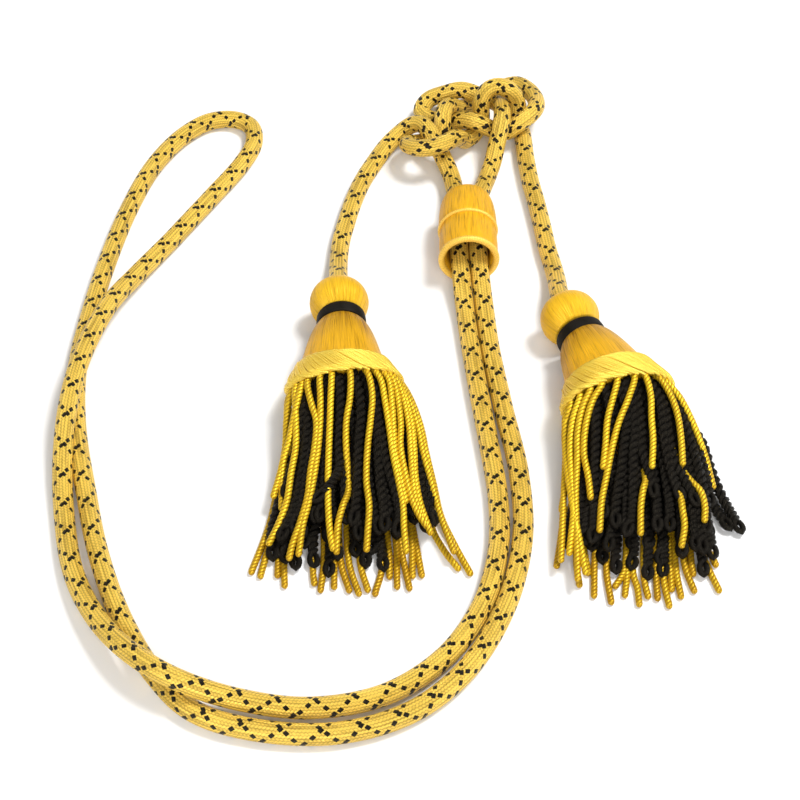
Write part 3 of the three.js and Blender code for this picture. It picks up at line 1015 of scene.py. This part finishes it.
@dataclass
class TasselLine:
    """The line that a tassel lies along, and its fringe's outer form.

    Places along it are measured from the middle of the ball. The rows of lean are places
    along and how far a section's top lies ahead of its middle there.
    """

    spine: list[Row]
    axis_height: float
    tip_spread: float
    lean: tuple[Row, ...]
    ball_height: float = 9.235
    rise_from: float = 7.0
    rise_length: float = 23.0
    spread_from: float = 80.0
    spread_length: float = 30.0
    floor_gap: float = 0.02

    def __post_init__(self) -> None:
        """Measures the spine."""
        flat = [(x, y, 0.0) for x, y in self.spine]
        self.path = Path(flat)
        self.tangents = unit(np.gradient(self.path.points, axis=0))
        self.ball_at = math.dist(self.spine[0], self.spine[1])

    def head_height(self, along: Places) -> np.ndarray:
        """Height of the head's axis, which rises from the ball to the bell."""
        rise = np.clip((along - self.rise_from) / self.rise_length, 0, 1)
        return self.ball_height + (self.axis_height - self.ball_height) * rise

    def place(self, along: Places, across: Places, height: Places) -> np.ndarray:
        """Finds points across and above the spine.

        Args:
            along: Places along it.
            across: Distances from it, to the left of its direction.
            height: Heights above the table.

        Returns:
            The points.
        """
        along, across, height = np.broadcast_arrays(*(np.asarray(v, float)
                                                      for v in (along, across, height)))
        distance = np.clip(along + self.ball_at, 0, self.path.length)
        point = self.path.at(distance)
        ahead = [np.interp(distance, self.path.distances, c) for c in self.tangents.T]
        return np.stack([point[..., 0] - ahead[1] * across, point[..., 1] + ahead[0] * across,
                         height], axis=-1)

    def leaned(self, along: Places, upward: Places) -> np.ndarray:
        """Where points come to lie once their section leans; upward is 1 at its top."""
        rows = np.array(self.lean)
        return along + np.interp(along, rows[:, 0], rows[:, 1]) * upward

    def on_fringe(self, along: Places, degrees: Places, inset: Places) -> np.ndarray:
        """Finds points on the fringe's outer form.

        Args:
            along: Places along the tassel.
            degrees: Turns round the form, with 0 at its top.
            inset: How far inside the form the points are.

        Returns:
            The points.
        """
        along, degrees, inset = (np.asarray(v, float) for v in (along, degrees, inset))
        rows = np.array(FRINGE_ENVELOPE)
        angle = np.radians(degrees)
        reach = np.clip((along - self.spread_from) / self.spread_length, 0, 1)
        reach = reach * reach * (3 - 2 * reach) * (self.tip_spread - 1)
        wide = np.interp(along, rows[:, 0], rows[:, 1]) * (1 + reach * np.abs(np.sin(angle)))
        half = np.interp(along, rows[:, 0], rows[:, 2]) / 2
        height = half + (half - inset) * np.cos(angle)
        return self.place(self.leaned(along, np.cos(angle)), (wide - inset) * np.sin(angle),
                          np.maximum(height, inset))

    def body(self, draft: MeshDraft, section: Sequence[Row], sides: int, rows: int,
             closed: bool) -> None:
        """Adds a turned or oval body whose sections follow the head's axis.

        Args:
            draft: The mesh that it goes into.
            section: Rows of place along, half width and half height.
            sides: Points round each section.
            rows: How many sections are drawn.
            closed: Whether the section is a ring that closes on itself.
        """
        table = [*section, section[0]] if closed else list(section)
        profile = catmull_rom(table, np.linspace(0, 1, rows))
        turns = np.linspace(0, 1, sides + 1)
        angle = 2 * math.pi * turns[:-1]
        rings = []
        for along, wide, tall in profile:
            height = self.head_height(np.array(along)) - tall * np.cos(angle)
            rings.append(self.place(self.leaned(along, -np.cos(angle)), wide * np.sin(angle),
                                    np.maximum(height, self.floor_gap)))
        draft.skin(np.stack(rings), profile[:, 0], turns=turns, capped=not closed)


@dataclass
class TasselHead:
    """The ball, neck band, bell and border of a tassel."""

    side: str
    line: TasselLine
    ball: tuple[Row, ...] = (
        # along, half width, half height
        (-2.6, 3.2, 3.2), (-4.2, 3.3, 3.3), (-5.3, 3.7, 3.7), (-5.75, 4.6, 4.6),
        (-5.4, 6.0, 6.0), (-4.3, 7.5, 7.5), (-2.7, 8.6, 8.6), (-0.8, 9.2, 9.2),
        (0.9, 9.35, 9.35), (2.6, 9.1, 9.1), (4.2, 8.5, 8.5), (5.6, 7.8, 7.8), (6.6, 7.2, 7.2),
        (6.95, 6.4, 6.4), (6.9, 4.0, 4.0),
    )
    band: tuple[Row, ...] = (
        # along, half width, half height
        (7.3, 6.0, 6.0), (7.35, 7.2, 7.2), (7.6, 7.6, 7.6), (8.6, 7.75, 7.75), (9.6, 7.8, 7.8),
        (10.8, 7.75, 7.75), (11.6, 7.55, 7.55), (11.8, 7.2, 7.2), (11.8, 6.0, 6.0),
    )
    bell: tuple[Row, ...] = (
        # along, half width, half height
        (11.4, 5.4, 5.4), (11.6, 6.8, 6.8), (12.3, 7.6, 7.5), (13.6, 8.4, 8.1), (15, 9.1, 8.6),
        (18, 10.2, 9.2), (22, 11.2, 9.8), (26, 12.1, 10.1), (30, 13.0, 10.4), (34, 13.6, 10.5),
        (36, 13.8, 10.4), (37.5, 13.4, 10),
    )
    border: tuple[Row, ...] = (
        # along, half width, half height
        (38.4, 16.6, 11.1), (37.8, 17.3, 11.3), (35.4, 16.3, 11.2), (32.4, 14.9, 11.1),
        (30.2, 13.9, 10.9), (29.4, 13.3, 10.7), (29.9, 12.9, 10.4), (33, 13.3, 10.3),
        (37, 14.6, 10.5),
    )
    gimp_section: tuple[Row, ...] = (
        # along, half width, half height
        (29.3, 13.2, 10.7), (29.9, 14.0, 11.1), (32.4, 15.1, 11.3), (35.4, 16.5, 11.4),
        (37.9, 17.6, 11.5), (38.9, 17.5, 11.3), (39.2, 16.7, 10.9),
    )
    gimp_threads: int = 118
    gimp_rows: int = 15
    gimp_sides: int = 6
    gimp_lean: float = -0.13
    gimp_bow: float = 0.012
    gimp_radius: float = 0.42
    gimp_crowding: float = 0.2
    gimp_lift: float = 0.2
    gimp_end_stray: float = 0.5
    band_shift: float = 0.0

    def gimp(self, draft: MeshDraft) -> None:
        """Adds the fine threads that wind obliquely over the border.

        Args:
            draft: The mesh that they go into.
        """
        rng = np.random.default_rng(SEED)
        profile = catmull_rom(self.gimp_section, np.linspace(0, 1, self.gimp_rows))
        share = np.linspace(0, 1, len(profile))
        for i in range(self.gimp_threads):
            start = (i + rng.uniform(-self.gimp_crowding, self.gimp_crowding)) / self.gimp_threads
            turn = start + self.gimp_lean * share - self.gimp_bow * np.sin(share * math.pi)
            angle = 2 * math.pi * turn
            lift = rng.uniform(-self.gimp_lift, self.gimp_lift)
            stray = rng.uniform(-self.gimp_end_stray, self.gimp_end_stray)
            along = profile[:, 0] + stray * share
            height = self.line.head_height(along) - (profile[:, 2] + lift) * np.cos(angle)
            middle = self.line.place(self.line.leaned(along, -np.cos(angle)),
                                     (profile[:, 1] + lift) * np.sin(angle),
                                     np.maximum(height, self.gimp_radius))
            draft.tube(middle, self.gimp_radius, self.gimp_sides, tone=rng.uniform(),
                       first=(0.3, 0.2, 1))

    def build(self) -> list[bpy.types.Object]:
        """Builds the four parts of the head and the threads over its border.

        Returns:
            The five pieces.
        """
        band = [(along + self.band_shift, wide, tall) for along, wide, tall in self.band]
        plan = (
            # part, section, sides, rows, whether it is a ring, finish, slot
            ("ball", self.ball, 96, 60, False, BALL_SILK, Slot.GOLD_SILK),
            ("neck_band", band, 84, 34, True, BLACK_BAND, Slot.BLACK_CORD),
            ("bell", self.bell, 120, 60, False, BELL_SILK, Slot.GOLD_SILK),
            ("border", self.border, 120, 40, True, BORDER_SHADE_BASE, Slot.GOLD_BULLION),
        )
        made = []
        for part, section, sides, rows, closed, finish, slot in plan:
            draft = MeshDraft(f"{self.side}_{part}_skin")
            self.line.body(draft, section, sides, rows, closed)
            made.append(draft.finish(finish, slot, f"{self.side}_{part}"))
        threads = MeshDraft(f"{self.side}_border_threads")
        self.gimp(threads)
        made.append(threads.finish(GIMP, Slot.GOLD_BULLION, f"{self.side}_border"))
        return made


@dataclass
class Fringe:
    """The gold strands and the black twisted cords of a tassel.

    Each gold strand over the top is a row of places along, degrees from the top and, where
    it stands proud, by how much. A splayed one goes on through places along, across and above
    the table. Strands under the rest are rows of the places, along and across, at which they
    show on the table. A black cord is a row of places along, degrees and inset, and a loop is
    the place along, across and above the table of a cord's tip.
    """

    side: str
    line: TasselLine
    over: list[list[Row]]
    under: list[list[Row]]
    cords: list[list[Row]]
    loops: list[Row]
    splayed: list[tuple[list[Row], list[Row]]] = field(default_factory=list)
    strays: list[tuple[list[Row], list[Row]]] = field(default_factory=list)
    strand_radius: float = 1.02
    strand_sides: int = 10
    strand_start: float = 37.6
    strand_inset: float = 1.9
    strand_gap: float = 0.1
    # Tones of the strands on top, painted as lit, and of the strands under the rest, painted darker
    # as shade.
    lit_tones: Row = (0.3, 1.0)
    shaded_tones: Row = (-0.45, 0.3)
    under_lead: tuple[Row, ...] = (
        # along, share of the way across, height above the table
        (40, 0.62, 4), (56, 0.8, 2.6), (74, 0.92, 1.5),
    )
    coil_pitch: float = 1.3
    coil_steps: int = 4
    coil_wires: int = 3
    coil_depth: float = 0.1
    ply_radius: float = 0.88
    ply_offset: float = 0.86
    ply_sides: int = 7
    ply_step: float = 0.85
    twist_pitch: float = 4.8
    eye: float = 3.6
    eye_bulge: float = 0.35
    eye_turn: float = 8.0
    cord_start: float = 38.5
    cord_inset: float = 3.4
    fan_half: float = 100.0
    fan_step: float = 12.5
    fan_stray: float = 3.0
    fan_rows: tuple[Row, ...] = (
        # along, inset
        (38.5, 4.6), (46, 5.4), (60, 5.2), (74, 4.8),
    )
    fan_tips: Row = (86, 94)
    fan_tip_inset: float = 3.6
    loop_lengths: Row = (30, 42)

    def route(self, lead: np.ndarray, over: np.ndarray, spread: Sequence[Row]) -> Path:
        """A line from under the border over the fringe's form, and on along the table."""
        return Path(np.vstack([lead, over, *(self.line.place(*row) for row in spread)]))

    def strand(self, draft: MeshDraft, path: Path, tone: float) -> None:
        """Adds one strand whose surface rises over each turn of its wires.

        Args:
            draft: The mesh that it goes into.
            path: The strand's middle line.
            tone: A number that tells this strand from the others.
        """
        points = path.every(self.coil_pitch / self.coil_steps)
        phase = np.linspace(0, path.length, len(points)) / self.coil_pitch
        climb = self.coil_wires * np.arange(self.strand_sides) / self.strand_sides
        wave = np.abs(np.sin(math.pi * (phase[:, None] - climb[None, :])))
        radius = self.strand_radius * (1 - self.coil_depth * (1 - wave))
        draft.tube(points, radius, self.strand_sides, tone=tone)

    def gold(self) -> bpy.types.Object:
        """Builds all the gold strands.

        Returns:
            The strands, as one piece.
        """
        rng = np.random.default_rng(SEED + len(self.side))
        draft = MeshDraft(f"{self.side}_gold_strands")
        for row, spread in [*((row, []) for row in self.over), *self.splayed]:
            table = [(place, turn, (proud[0] if proud else 0.0)) for place, turn, *proud in row]
            along, degrees, out = np.array(table, float).T
            lead = self.line.on_fringe(self.strand_start, degrees[0], self.strand_inset - out[0])
            over = self.line.on_fringe(along, degrees, self.strand_radius + self.strand_gap - out)
            self.strand(draft, self.route(lead, over, spread), rng.uniform(*self.lit_tones))
        for row in self.under:
            table = [(along, share * row[0][1], height) for along, share, height in self.under_lead]
            table += [(along, across, self.strand_radius) for along, across in row]
            middle = Path([self.line.place(*place) for place in table])
            # Painted shade: strands under the rest take the lower tones.
            self.strand(draft, middle, rng.uniform(*self.shaded_tones))
        return draft.finish(BULLION, Slot.GOLD_BULLION, f"{self.side}_gold_fringe")

    def twisted(self, draft: MeshDraft, path: Path, tone: float, start: float) -> None:
        """Adds a cord of two plies, which are one yarn folded into a small eye at its tip.

        Args:
            draft: The mesh that it goes into.
            path: The cord's middle line.
            tone: A number that tells this cord from the others.
            start: The twist's first angle, in turns.
        """
        points = path.every(self.ply_step)
        distance = np.linspace(0, path.length, len(points))
        tangents = unit(np.gradient(points, axis=0))
        sideways = unit(np.cross(tangents, (0, 0, 1)))
        up = np.cross(sideways, tangents)
        left = np.maximum(path.length - distance, 0)
        angle = 2 * math.pi * (start + np.maximum(left - self.eye, 0) / self.twist_pitch)
        settled = np.clip(1 - (left - self.eye) / self.eye_turn, 0, 1)
        angle = angle - 2 * math.pi * start * settled
        opening = np.clip(left / self.eye, 0, 1)
        rounded = np.sqrt(1 - (1 - opening) ** 2) + self.eye_bulge * np.sin(opening * math.pi)
        offset = self.ply_offset * np.where(left < self.eye, rounded, 1.0)
        around = sideways * np.cos(angle)[:, None] + up * np.sin(angle)[:, None]
        out, back = points + around * offset[:, None], points - around * offset[:, None]
        yarn = np.vstack([out, back[::-1][1:]])
        yarn[:, 2] = np.maximum(yarn[:, 2], self.ply_radius)
        draft.tube(yarn, self.ply_radius, self.ply_sides, tone=tone, first=(0.1, 0.2, 1))

    def black(self) -> bpy.types.Object:
        """Builds all the black cords: those seen on top, a fan under them, and the lowest.

        Returns:
            The cords, as one piece.
        """
        rng = np.random.default_rng(BLACK_SEED + len(self.side))
        draft = MeshDraft(f"{self.side}_black_cords")
        for row, spread in [*((row, []) for row in self.cords), *self.strays]:
            along, degrees, inset = np.array(row, float).T
            lead = self.line.on_fringe(self.cord_start, degrees[0], self.cord_inset)
            over = self.line.on_fringe(along, degrees, inset)
            self.twisted(draft, self.route(lead, over, spread), rng.uniform(), rng.uniform())
        for degrees in np.arange(-self.fan_half, self.fan_half + 1, self.fan_step):
            rows = np.array([*self.fan_rows, (rng.uniform(*self.fan_tips), self.fan_tip_inset)])
            stray = rng.uniform(-self.fan_stray, self.fan_stray, len(rows))
            turn = degrees + stray * np.linspace(0, 1, len(rows))
            middle = Path(self.line.on_fringe(rows[:, 0], turn, rows[:, 1]))
            self.twisted(draft, middle, rng.uniform(), rng.uniform())
        for along, across, height in self.loops:
            # From deep in the fringe down to the tip, as place along, across and height.
            start = along - rng.uniform(*self.loop_lengths)
            table = [(start, across * 0.8, 5.5), (start + 14, across * 0.9, 4.4),
                     (along - 9, across + rng.uniform(-1, 1), 2.6 + height * 0.6),
                     (along, across, 1.9 + height)]
            middle = Path([self.line.place(*row) for row in table])
            self.twisted(draft, middle, rng.uniform(), rng.uniform())
        return draft.finish(BLACK_PLY, Slot.BLACK_CORD, f"{self.side}_black_fringe")

    def build(self) -> list[bpy.types.Object]:
        """Builds both colours."""
        return [self.gold(), self.black()]


def left_tassel() -> tuple[TasselHead, Fringe]:
    """Describes the tassel that lies inside the loop.

    Returns:
        Its head and its fringe.
    """
    line = TasselLine([(-18.9, 30), (-18.25, 20), (-17.4, 11.5), (-15.8, -18.5), (-12.6, -37),
                       (-11.8, -52), (-10.5, -66), (-9.6, -100)], 11.0, 1.2,
                      ((13, 0), (29, 4.5), (39, 2.5), (60, 0)))
    over = [
        [(41, -74), (48, -86), (60, -88), (69, -90, 0.5), (76, -90, 2.2)],
        [(42, -51), (49.5, -60), (59.5, -70), (66, -86), (74, -92)],
        [(41, -62), (52, -58), (63.5, -56), (72, -60), (80, -68), (88, -86), (93.5, -90, 0.6)],
        [(41, -42), (48.5, -37), (55.5, -33), (65.5, -34), (72.5, -37), (80.5, -41),
         (88.5, -46), (96, -49), (100, -49)],
        [(40.5, -27), (47, -27), (55.5, -29), (65.5, -30.5), (76, -35), (83, -40), (89.5, -43),
         (99, -42)],
        [(41, -14), (48, -17), (56.5, -20), (66, -21), (76, -22), (84, -23), (93, -21),
         (98, -18.5)],
        [(41, 5), (49.5, 0), (57.5, -6), (66, -7), (72, -7.3, -3.2), (79, -8, -2.2), (85, -12),
         (90.5, -15.5), (99, -16)],
        [(42, 23), (50, 20), (58, 14), (66.5, 10), (77.5, 7), (85.5, 7), (93.5, 5), (98.5, 4)],
        [(43.5, 35), (52.5, 31), (60, 30), (68.5, 31), (77.5, 32.5), (85.5, 33), (92, 31),
         (99, 30)],
        [(42.5, 46), (52.5, 38), (60, 34), (68, 33), (76, 35), (84, 36)],
        [(42, 54), (57.5, 43), (65.5, 39), (74.5, 40), (83, 42), (88, 46), (91, 51)],
        [(42, 62), (57, 53), (67.5, 50), (77.5, 47), (83, 46), (88.5, 49)],
        [(42, 68), (49, 62), (57.5, 58), (65.5, 55), (75.5, 51), (84, 50), (93, 53)],
        [(42, 74), (50, 69), (58, 69), (66, 71), (74, 78), (82, 84)],
        [(42, 82), (49, 84), (56, 88), (64, 88), (74.5, 87, 0.3), (85, 84), (98, 78)],
        [(42, 90), (50, 92), (60, 95), (72, 94), (82, 92)],
        [(42, -90), (50, -95), (60, -98), (70, -96), (80, -96)],
    ]
    under = [
        [(82, -26), (91.4, -28.3), (101, -31)], [(83, -25), (90.5, -26.1), (102.5, -28.4)],
        [(96.9, -23.5), (102.4, -23.6)], [(98.4, -21.8), (106.1, -21.5)],
        [(101.1, -13.6), (105.5, -13.2)], [(99, -10.6), (107.9, -11.4)],
        [(99, -7.6), (106.8, -7.6)], [(98.3, -5.7), (108.1, -3.4)],
        [(98.4, -3.4), (109.3, -0.7)], [(99, -0.2), (108, 1.8)], [(99.5, 6), (109.4, 3.9)],
        [(97, 8.1), (103.5, 8)], [(91, 10.1), (107.1, 10.1)], [(95.9, 11.8), (107.7, 13.5)],
        [(87.8, 14.7), (103.4, 14.5)], [(90.2, 15.6), (103.2, 17.1)],
    ]
    splayed = [
        ([(42, 80), (49, 80), (57, 81), (65, 82)],
         [(74, 22.6, 4.6), (84, 23.6, 2.2), (93.7, 27.1, 1.2), (102.8, 30.8, 1.05)]),
        ([(42, 86), (49, 88), (57, 90), (66, 91)],
         [(76, 22.3, 2.6), (86, 20.6, 1.3), (94, 23.4, 1.05), (101, 27.4, 1.05)]),
    ]
    cords = [
        [(46.5, -50, 2.9), (54.5, -58, 2.9), (64.5, -64, 2.9), (71.5, -74, 2.7), (77, -84, 2.2)],
        [(52.5, -47, 3), (71, -52, 3), (81, -62, 2.8), (93, -76, 2.6)],
        [(50, -34, 3), (66, -42, 3), (78, -50, 2.8), (90, -58, 2.6)],
        [(45, -8, 3), (52.5, -11, 3), (64, -14, 2.9), (72.5, -14, 2.6), (76, -18, 1.2),
         (79.5, -26, 1.1), (82, -37, 1.7)],
        [(50, -22, 3), (66, -26, 3), (78, -29, 3), (88, -33, 3)],
        [(45, 11, 3), (53.5, 8, 3), (65, 3, 2.9), (75.5, 1, 2.8), (86.5, -4, 2.6),
         (90, -6, 2.6)],
        [(46, 28, 3), (56.5, 23, 3), (67.5, 20, 2.9), (79, 19, 2.8), (87, 19, 2.6),
         (92, 18, 2.6)],
        [(60, 25, 3), (70.5, 27, 2.8), (80.5, 31, 2.5), (87, 31, 2.5), (93.5, 27, 2.6)],
        [(50, 74, 3.4), (62, 76, 3.2), (74, 68, 3), (84, 60, 2.8), (90, 64, 2.6)],
        [(50, 60, 3.6), (62, 64, 3.4), (74, 60, 3), (86, 56, 2.8)],
        [(48, 84, 3.2), (60, 87, 2.8), (72, 89, 2.5), (80, 90, 2.3), (86, 88, 2.2)],
    ]
    loops = [(96.5, -23, 0.4), (88.3, -16.3, 1.6), (86.5, -12.3, 1.8), (100.2, -13.3, 0),
             (103.4, -9.2, 0), (97.8, -6.5, 0.4), (96.7, -1.4, 0.3), (100.5, 1.3, 0),
             (96.2, 3, 0.6), (101.8, 6.4, 0), (91.1, 10.3, 1), (100.7, -18.4, 0),
             (86.3, 15.8, 1.2), (88.2, 18.9, 0.6), (94, -20, 0.5), (97.5, -25, 0.3),
             (93.5, -16, 0.9), (92, -9, 1.2), (91, 4, 1.2), (98.5, -21.5, 0.2)]
    return (TasselHead("left", line),
            Fringe("left", line, over, under, cords, loops, splayed=splayed))


def right_tassel() -> tuple[TasselHead, Fringe]:
    """Describes the tassel that lies outside the loop.

    Returns:
        Its head and its fringe.
    """
    line = TasselLine([(51, 23), (54, 13.2), (56.5, 5.8), (66.6, -25), (68.9, -37),
                       (70.2, -52), (69.5, -66), (66.5, -100)], 11.4, 1.02,
                      ((13, 0), (29, 1.5), (39, 0.6), (60, 0)))
    over = [
        [(41.5, -69), (48, -88), (58, -94), (72, -92), (87, -74), (98, -66)],
        [(40.5, -51), (47.5, -62), (55.5, -69), (69, -67), (82, -58), (96, -56)],
        [(39.5, -36), (45, -47), (52.5, -55), (63, -58), (76.5, -57), (87.5, -52), (104, -44)],
        [(39.5, -22), (44, -34), (51.5, -44), (61.5, -49), (71, -44), (78.5, -40)],
        [(39.5, -5), (45.5, -14), (52, -22), (61, -27), (68, -30)],
        [(39.5, 14), (46.5, 0), (54, -13), (61.5, -21), (71.5, -27), (80, -30), (89, -30)],
        [(39.5, 27), (46, 22), (53.5, 16), (60.5, 13), (68.5, 9)],
        [(40, 48), (46, 47), (52, 45), (60, 40), (67, 36)],
        [(41, 62), (47, 68), (54, 72), (60, 76)],
        [(42, -80), (52.5, -86), (68.5, -74), (82, -58), (93, -46), (102, -38)],
        [(42, 80), (50, 86), (60, 90), (70, 92)],
        [(42, -92), (52, -98), (66, -98), (80, -92)],
        [(44, 8, -5), (58, 6, -5), (68, 4.5, -3.5), (72, 4, -1.5), (76, 1.5), (81, 0),
         (89.5, 0)],
        [(44, 38, -5), (60, 36, -5), (71, 35, -3.5), (76, 34, -1.5), (81, 32), (86, 33),
         (92, 30)],
        [(44, 50, -5), (57, 47, -5), (67, 47, -3.5), (71, 48, -1.5), (74, 52), (78.5, 56),
         (83, 54)],
    ]
    under = [
        [(77.6, -21), (89.6, -22.3), (96.7, -22.9)], [(85, -17.4), (96.2, -17.3), (102.9, -16.3)],
        [(85.9, -15.6), (98.5, -14)], [(91.7, -12.2), (106.3, -12.1)],
        [(97.3, -8.8), (108.1, -7.3)], [(97, -3.9), (102.4, -6.2)], [(98.7, -3), (105.3, -3.5)],
        [(97.6, -1.3), (102.4, -0.1), (108.1, 0.5)], [(99, 1.8), (105.2, 2.9)],
        [(99, 5.2), (105.6, 5.6)], [(99, 7.3), (107.9, 8.8)], [(97, 9.3), (102.1, 9.5)],
        [(95.4, 10.8), (104.3, 12.1)], [(93.6, 13.3), (102, 15.8)], [(92.8, 15.2), (96.1, 15.6)],
        [(88.2, 18.2), (93.5, 19.8), (101.2, 22.7)], [(86.1, 19), (88.5, 20.6), (92.2, 22)],
    ]
    cords = [
        [(48.5, -36, 3), (60.5, -40, 2.9), (73, -41, 2.8), (84, -39, 2.7), (92, -38, 2.6)],
        [(50, -4, 3), (59.5, -11, 2.9), (70.5, -17, 2.7), (81, -20, 2.6), (87, -19, 2.6)],
        [(50, 4, 3.6), (65, -5, 3), (75.5, -6, 2.8), (83.5, -7, 2.7), (89.5, -11, 2.6)],
        [(46, 10, 3), (54.5, 7, 2.9), (62.5, 4, 2.9), (70, 8, 2.6), (77, 11, 2.6)],
        [(46, 36, 3), (57.5, 27, 2.9), (67.5, 27, 2.8), (73.5, 31, 2.6), (77, 36, 2.5)],
        [(48, 40, 3.2), (57, 33, 3), (66, 33, 2.9), (72, 42, 2.6), (78, 52, 2.4)],
        [(48, 60, 3), (58, 62, 2.8), (68, 64, 2.8), (78, 66, 2.6), (86, 62, 2.6)],
        [(48, 76, 3), (58, 80, 2.8), (68, 84, 2.6), (76, 88, 2.6)],
        [(48, -20, 3), (60, -28, 3), (72, -32, 3), (84, -30, 2.8)],
    ]
    loops = [(91, -13.1, 0.6), (98.2, -6.2, 0), (96.7, -2, 0.3), (90, -2, 1.2), (99.7, 2.7, 0),
             (98.2, 6.8, 0), (94.1, 5.9, 0.5), (89.6, 2.7, 1.4), (88.1, -8.2, 1.4),
             (84.5, 6.9, 1.6), (77, 10, 2.2), (86.1, 16.8, 0.6), (91.2, 12.5, 0.3),
             (80, 17, 1.4), (97, 18.5, 0), (95, -10, 0)]
    strays = [([(45, 66, 3), (52, 74, 2.6)],
               [(57.2, 20.6, 9), (63.5, 22.2, 5.2), (70.1, 24.6, 3), (75.1, 27.2, 2.1),
                (81, 29.8, 2)]),
              ([(46, 80, 3), (53, 88, 2.6)],
               [(59, 19.4, 6), (66, 20.6, 3.6), (71.5, 21.6, 2.2), (76.3, 24.4, 2),
                (80, 26.6, 2)])]
    return (TasselHead("right", line, band_shift=0.8),
            Fringe("right", line, over, under, cords, loops, strays=strays))


# Camera, light and table


@dataclass
class Studio:
    """A pale table under soft light, seen from the photograph's angle."""

    camera_at: Row = (1.0, -412.0, 427.0)
    camera_tilt: float = 43.0
    lens: float = 85.5
    sensor: float = 36.0
    nearest: float = 0.01
    table_size: float = 6.0
    table_colour: Colour = (0.9, 0.9, 0.9)
    table_roughness: float = 0.8
    sky: Colour = (1.0, 1.0, 1.0)
    sky_strength: float = 0.3
    lamps: tuple[tuple[str, Row, float, float], ...] = (
        # name, place in metres, size in metres, power in watts
        ("key", (0.66, 0.24, 1.4), 0.45, 23.0),
        ("fill", (-0.7, -0.5, 0.9), 0.8, 3.0),
        ("front", (0.12, -1.0, 0.75), 0.6, 8.5),
    )

    def camera(self) -> None:
        """Adds the camera and makes it the scene's own."""
        data = bpy.data.cameras.new("camera")
        data.lens = self.lens
        data.sensor_width = self.sensor
        data.clip_start = self.nearest
        camera = bpy.data.objects.new("camera", data)
        camera.location = [v * MM for v in self.camera_at]
        camera.rotation_euler = (math.radians(self.camera_tilt), 0.0, 0.0)
        bpy.context.scene.collection.objects.link(camera)
        bpy.context.scene.camera = camera

    def table(self) -> None:
        """Adds the table top as a stage."""
        half = self.table_size / 2
        mesh = bpy.data.meshes.new("table_top")
        corners = [(-half, -half, 0), (half, -half, 0), (half, half, 0), (-half, half, 0)]
        mesh.from_pydata(corners, [], [(0, 1, 2, 3)])
        material = bpy.data.materials.new("table_top")
        material.use_nodes = True
        shader = material.node_tree.nodes["Principled BSDF"]
        shader.inputs["Base Color"].default_value = rgba(self.table_colour)
        shader.inputs["Roughness"].default_value = self.table_roughness
        mesh.materials.append(material)
        top = bpy.data.objects.new("table_top", mesh)
        bpy.context.scene.collection.objects.link(top)

    def lamp(self, name: str, at: Row, size: float, power: float) -> None:
        """Adds a square soft lamp that faces the middle of the table.

        Args:
            name: Its name.
            at: Its place in metres.
            size: The length of its side in metres.
            power: Its power in watts.
        """
        data = bpy.data.lights.new(name, "AREA")
        data.size = size
        data.energy = power
        lamp = bpy.data.objects.new(name, data)
        lamp.location = at
        ahead = -np.asarray(at, float)
        lean = math.atan2(math.hypot(ahead[0], ahead[1]), -ahead[2])
        lamp.rotation_euler = (lean, 0.0, math.atan2(ahead[1], ahead[0]) - math.pi / 2)
        bpy.context.scene.collection.objects.link(lamp)

    def light(self) -> None:
        """Adds the lamps and an even sky."""
        world = bpy.data.worlds.new("studio")
        world.use_nodes = True
        background = world.node_tree.nodes["Background"]
        background.inputs["Color"].default_value = rgba(self.sky)
        background.inputs["Strength"].default_value = self.sky_strength
        bpy.context.scene.world = world
        for lamp in self.lamps:
            self.lamp(*lamp)

    def build(self) -> None:
        """Sets the view and the light."""
        bpy.context.scene.view_settings.view_transform = "Standard"
        self.table()
        self.light()


def main() -> None:
    """Builds every piece in order and reports each one."""
    logging.basicConfig(level=logging.INFO, format="%(name)s %(message)s")
    studio = Studio()
    studio.camera()
    routes = (("cord_left_end", LEFT_END_ROUTE), ("cord_right_end", RIGHT_END_ROUTE),
              ("cord_loop", LOOP_ROUTE))
    made = [BraidedCord(node, route).build() for node, route in routes]
    made += Slide().build()
    for head, fringe in (left_tassel(), right_tassel()):
        made += head.build()
        made += fringe.build()
    studio.build()
    LOG.info("%d pieces", len(made))


if __name__ == "__main__":
    main()
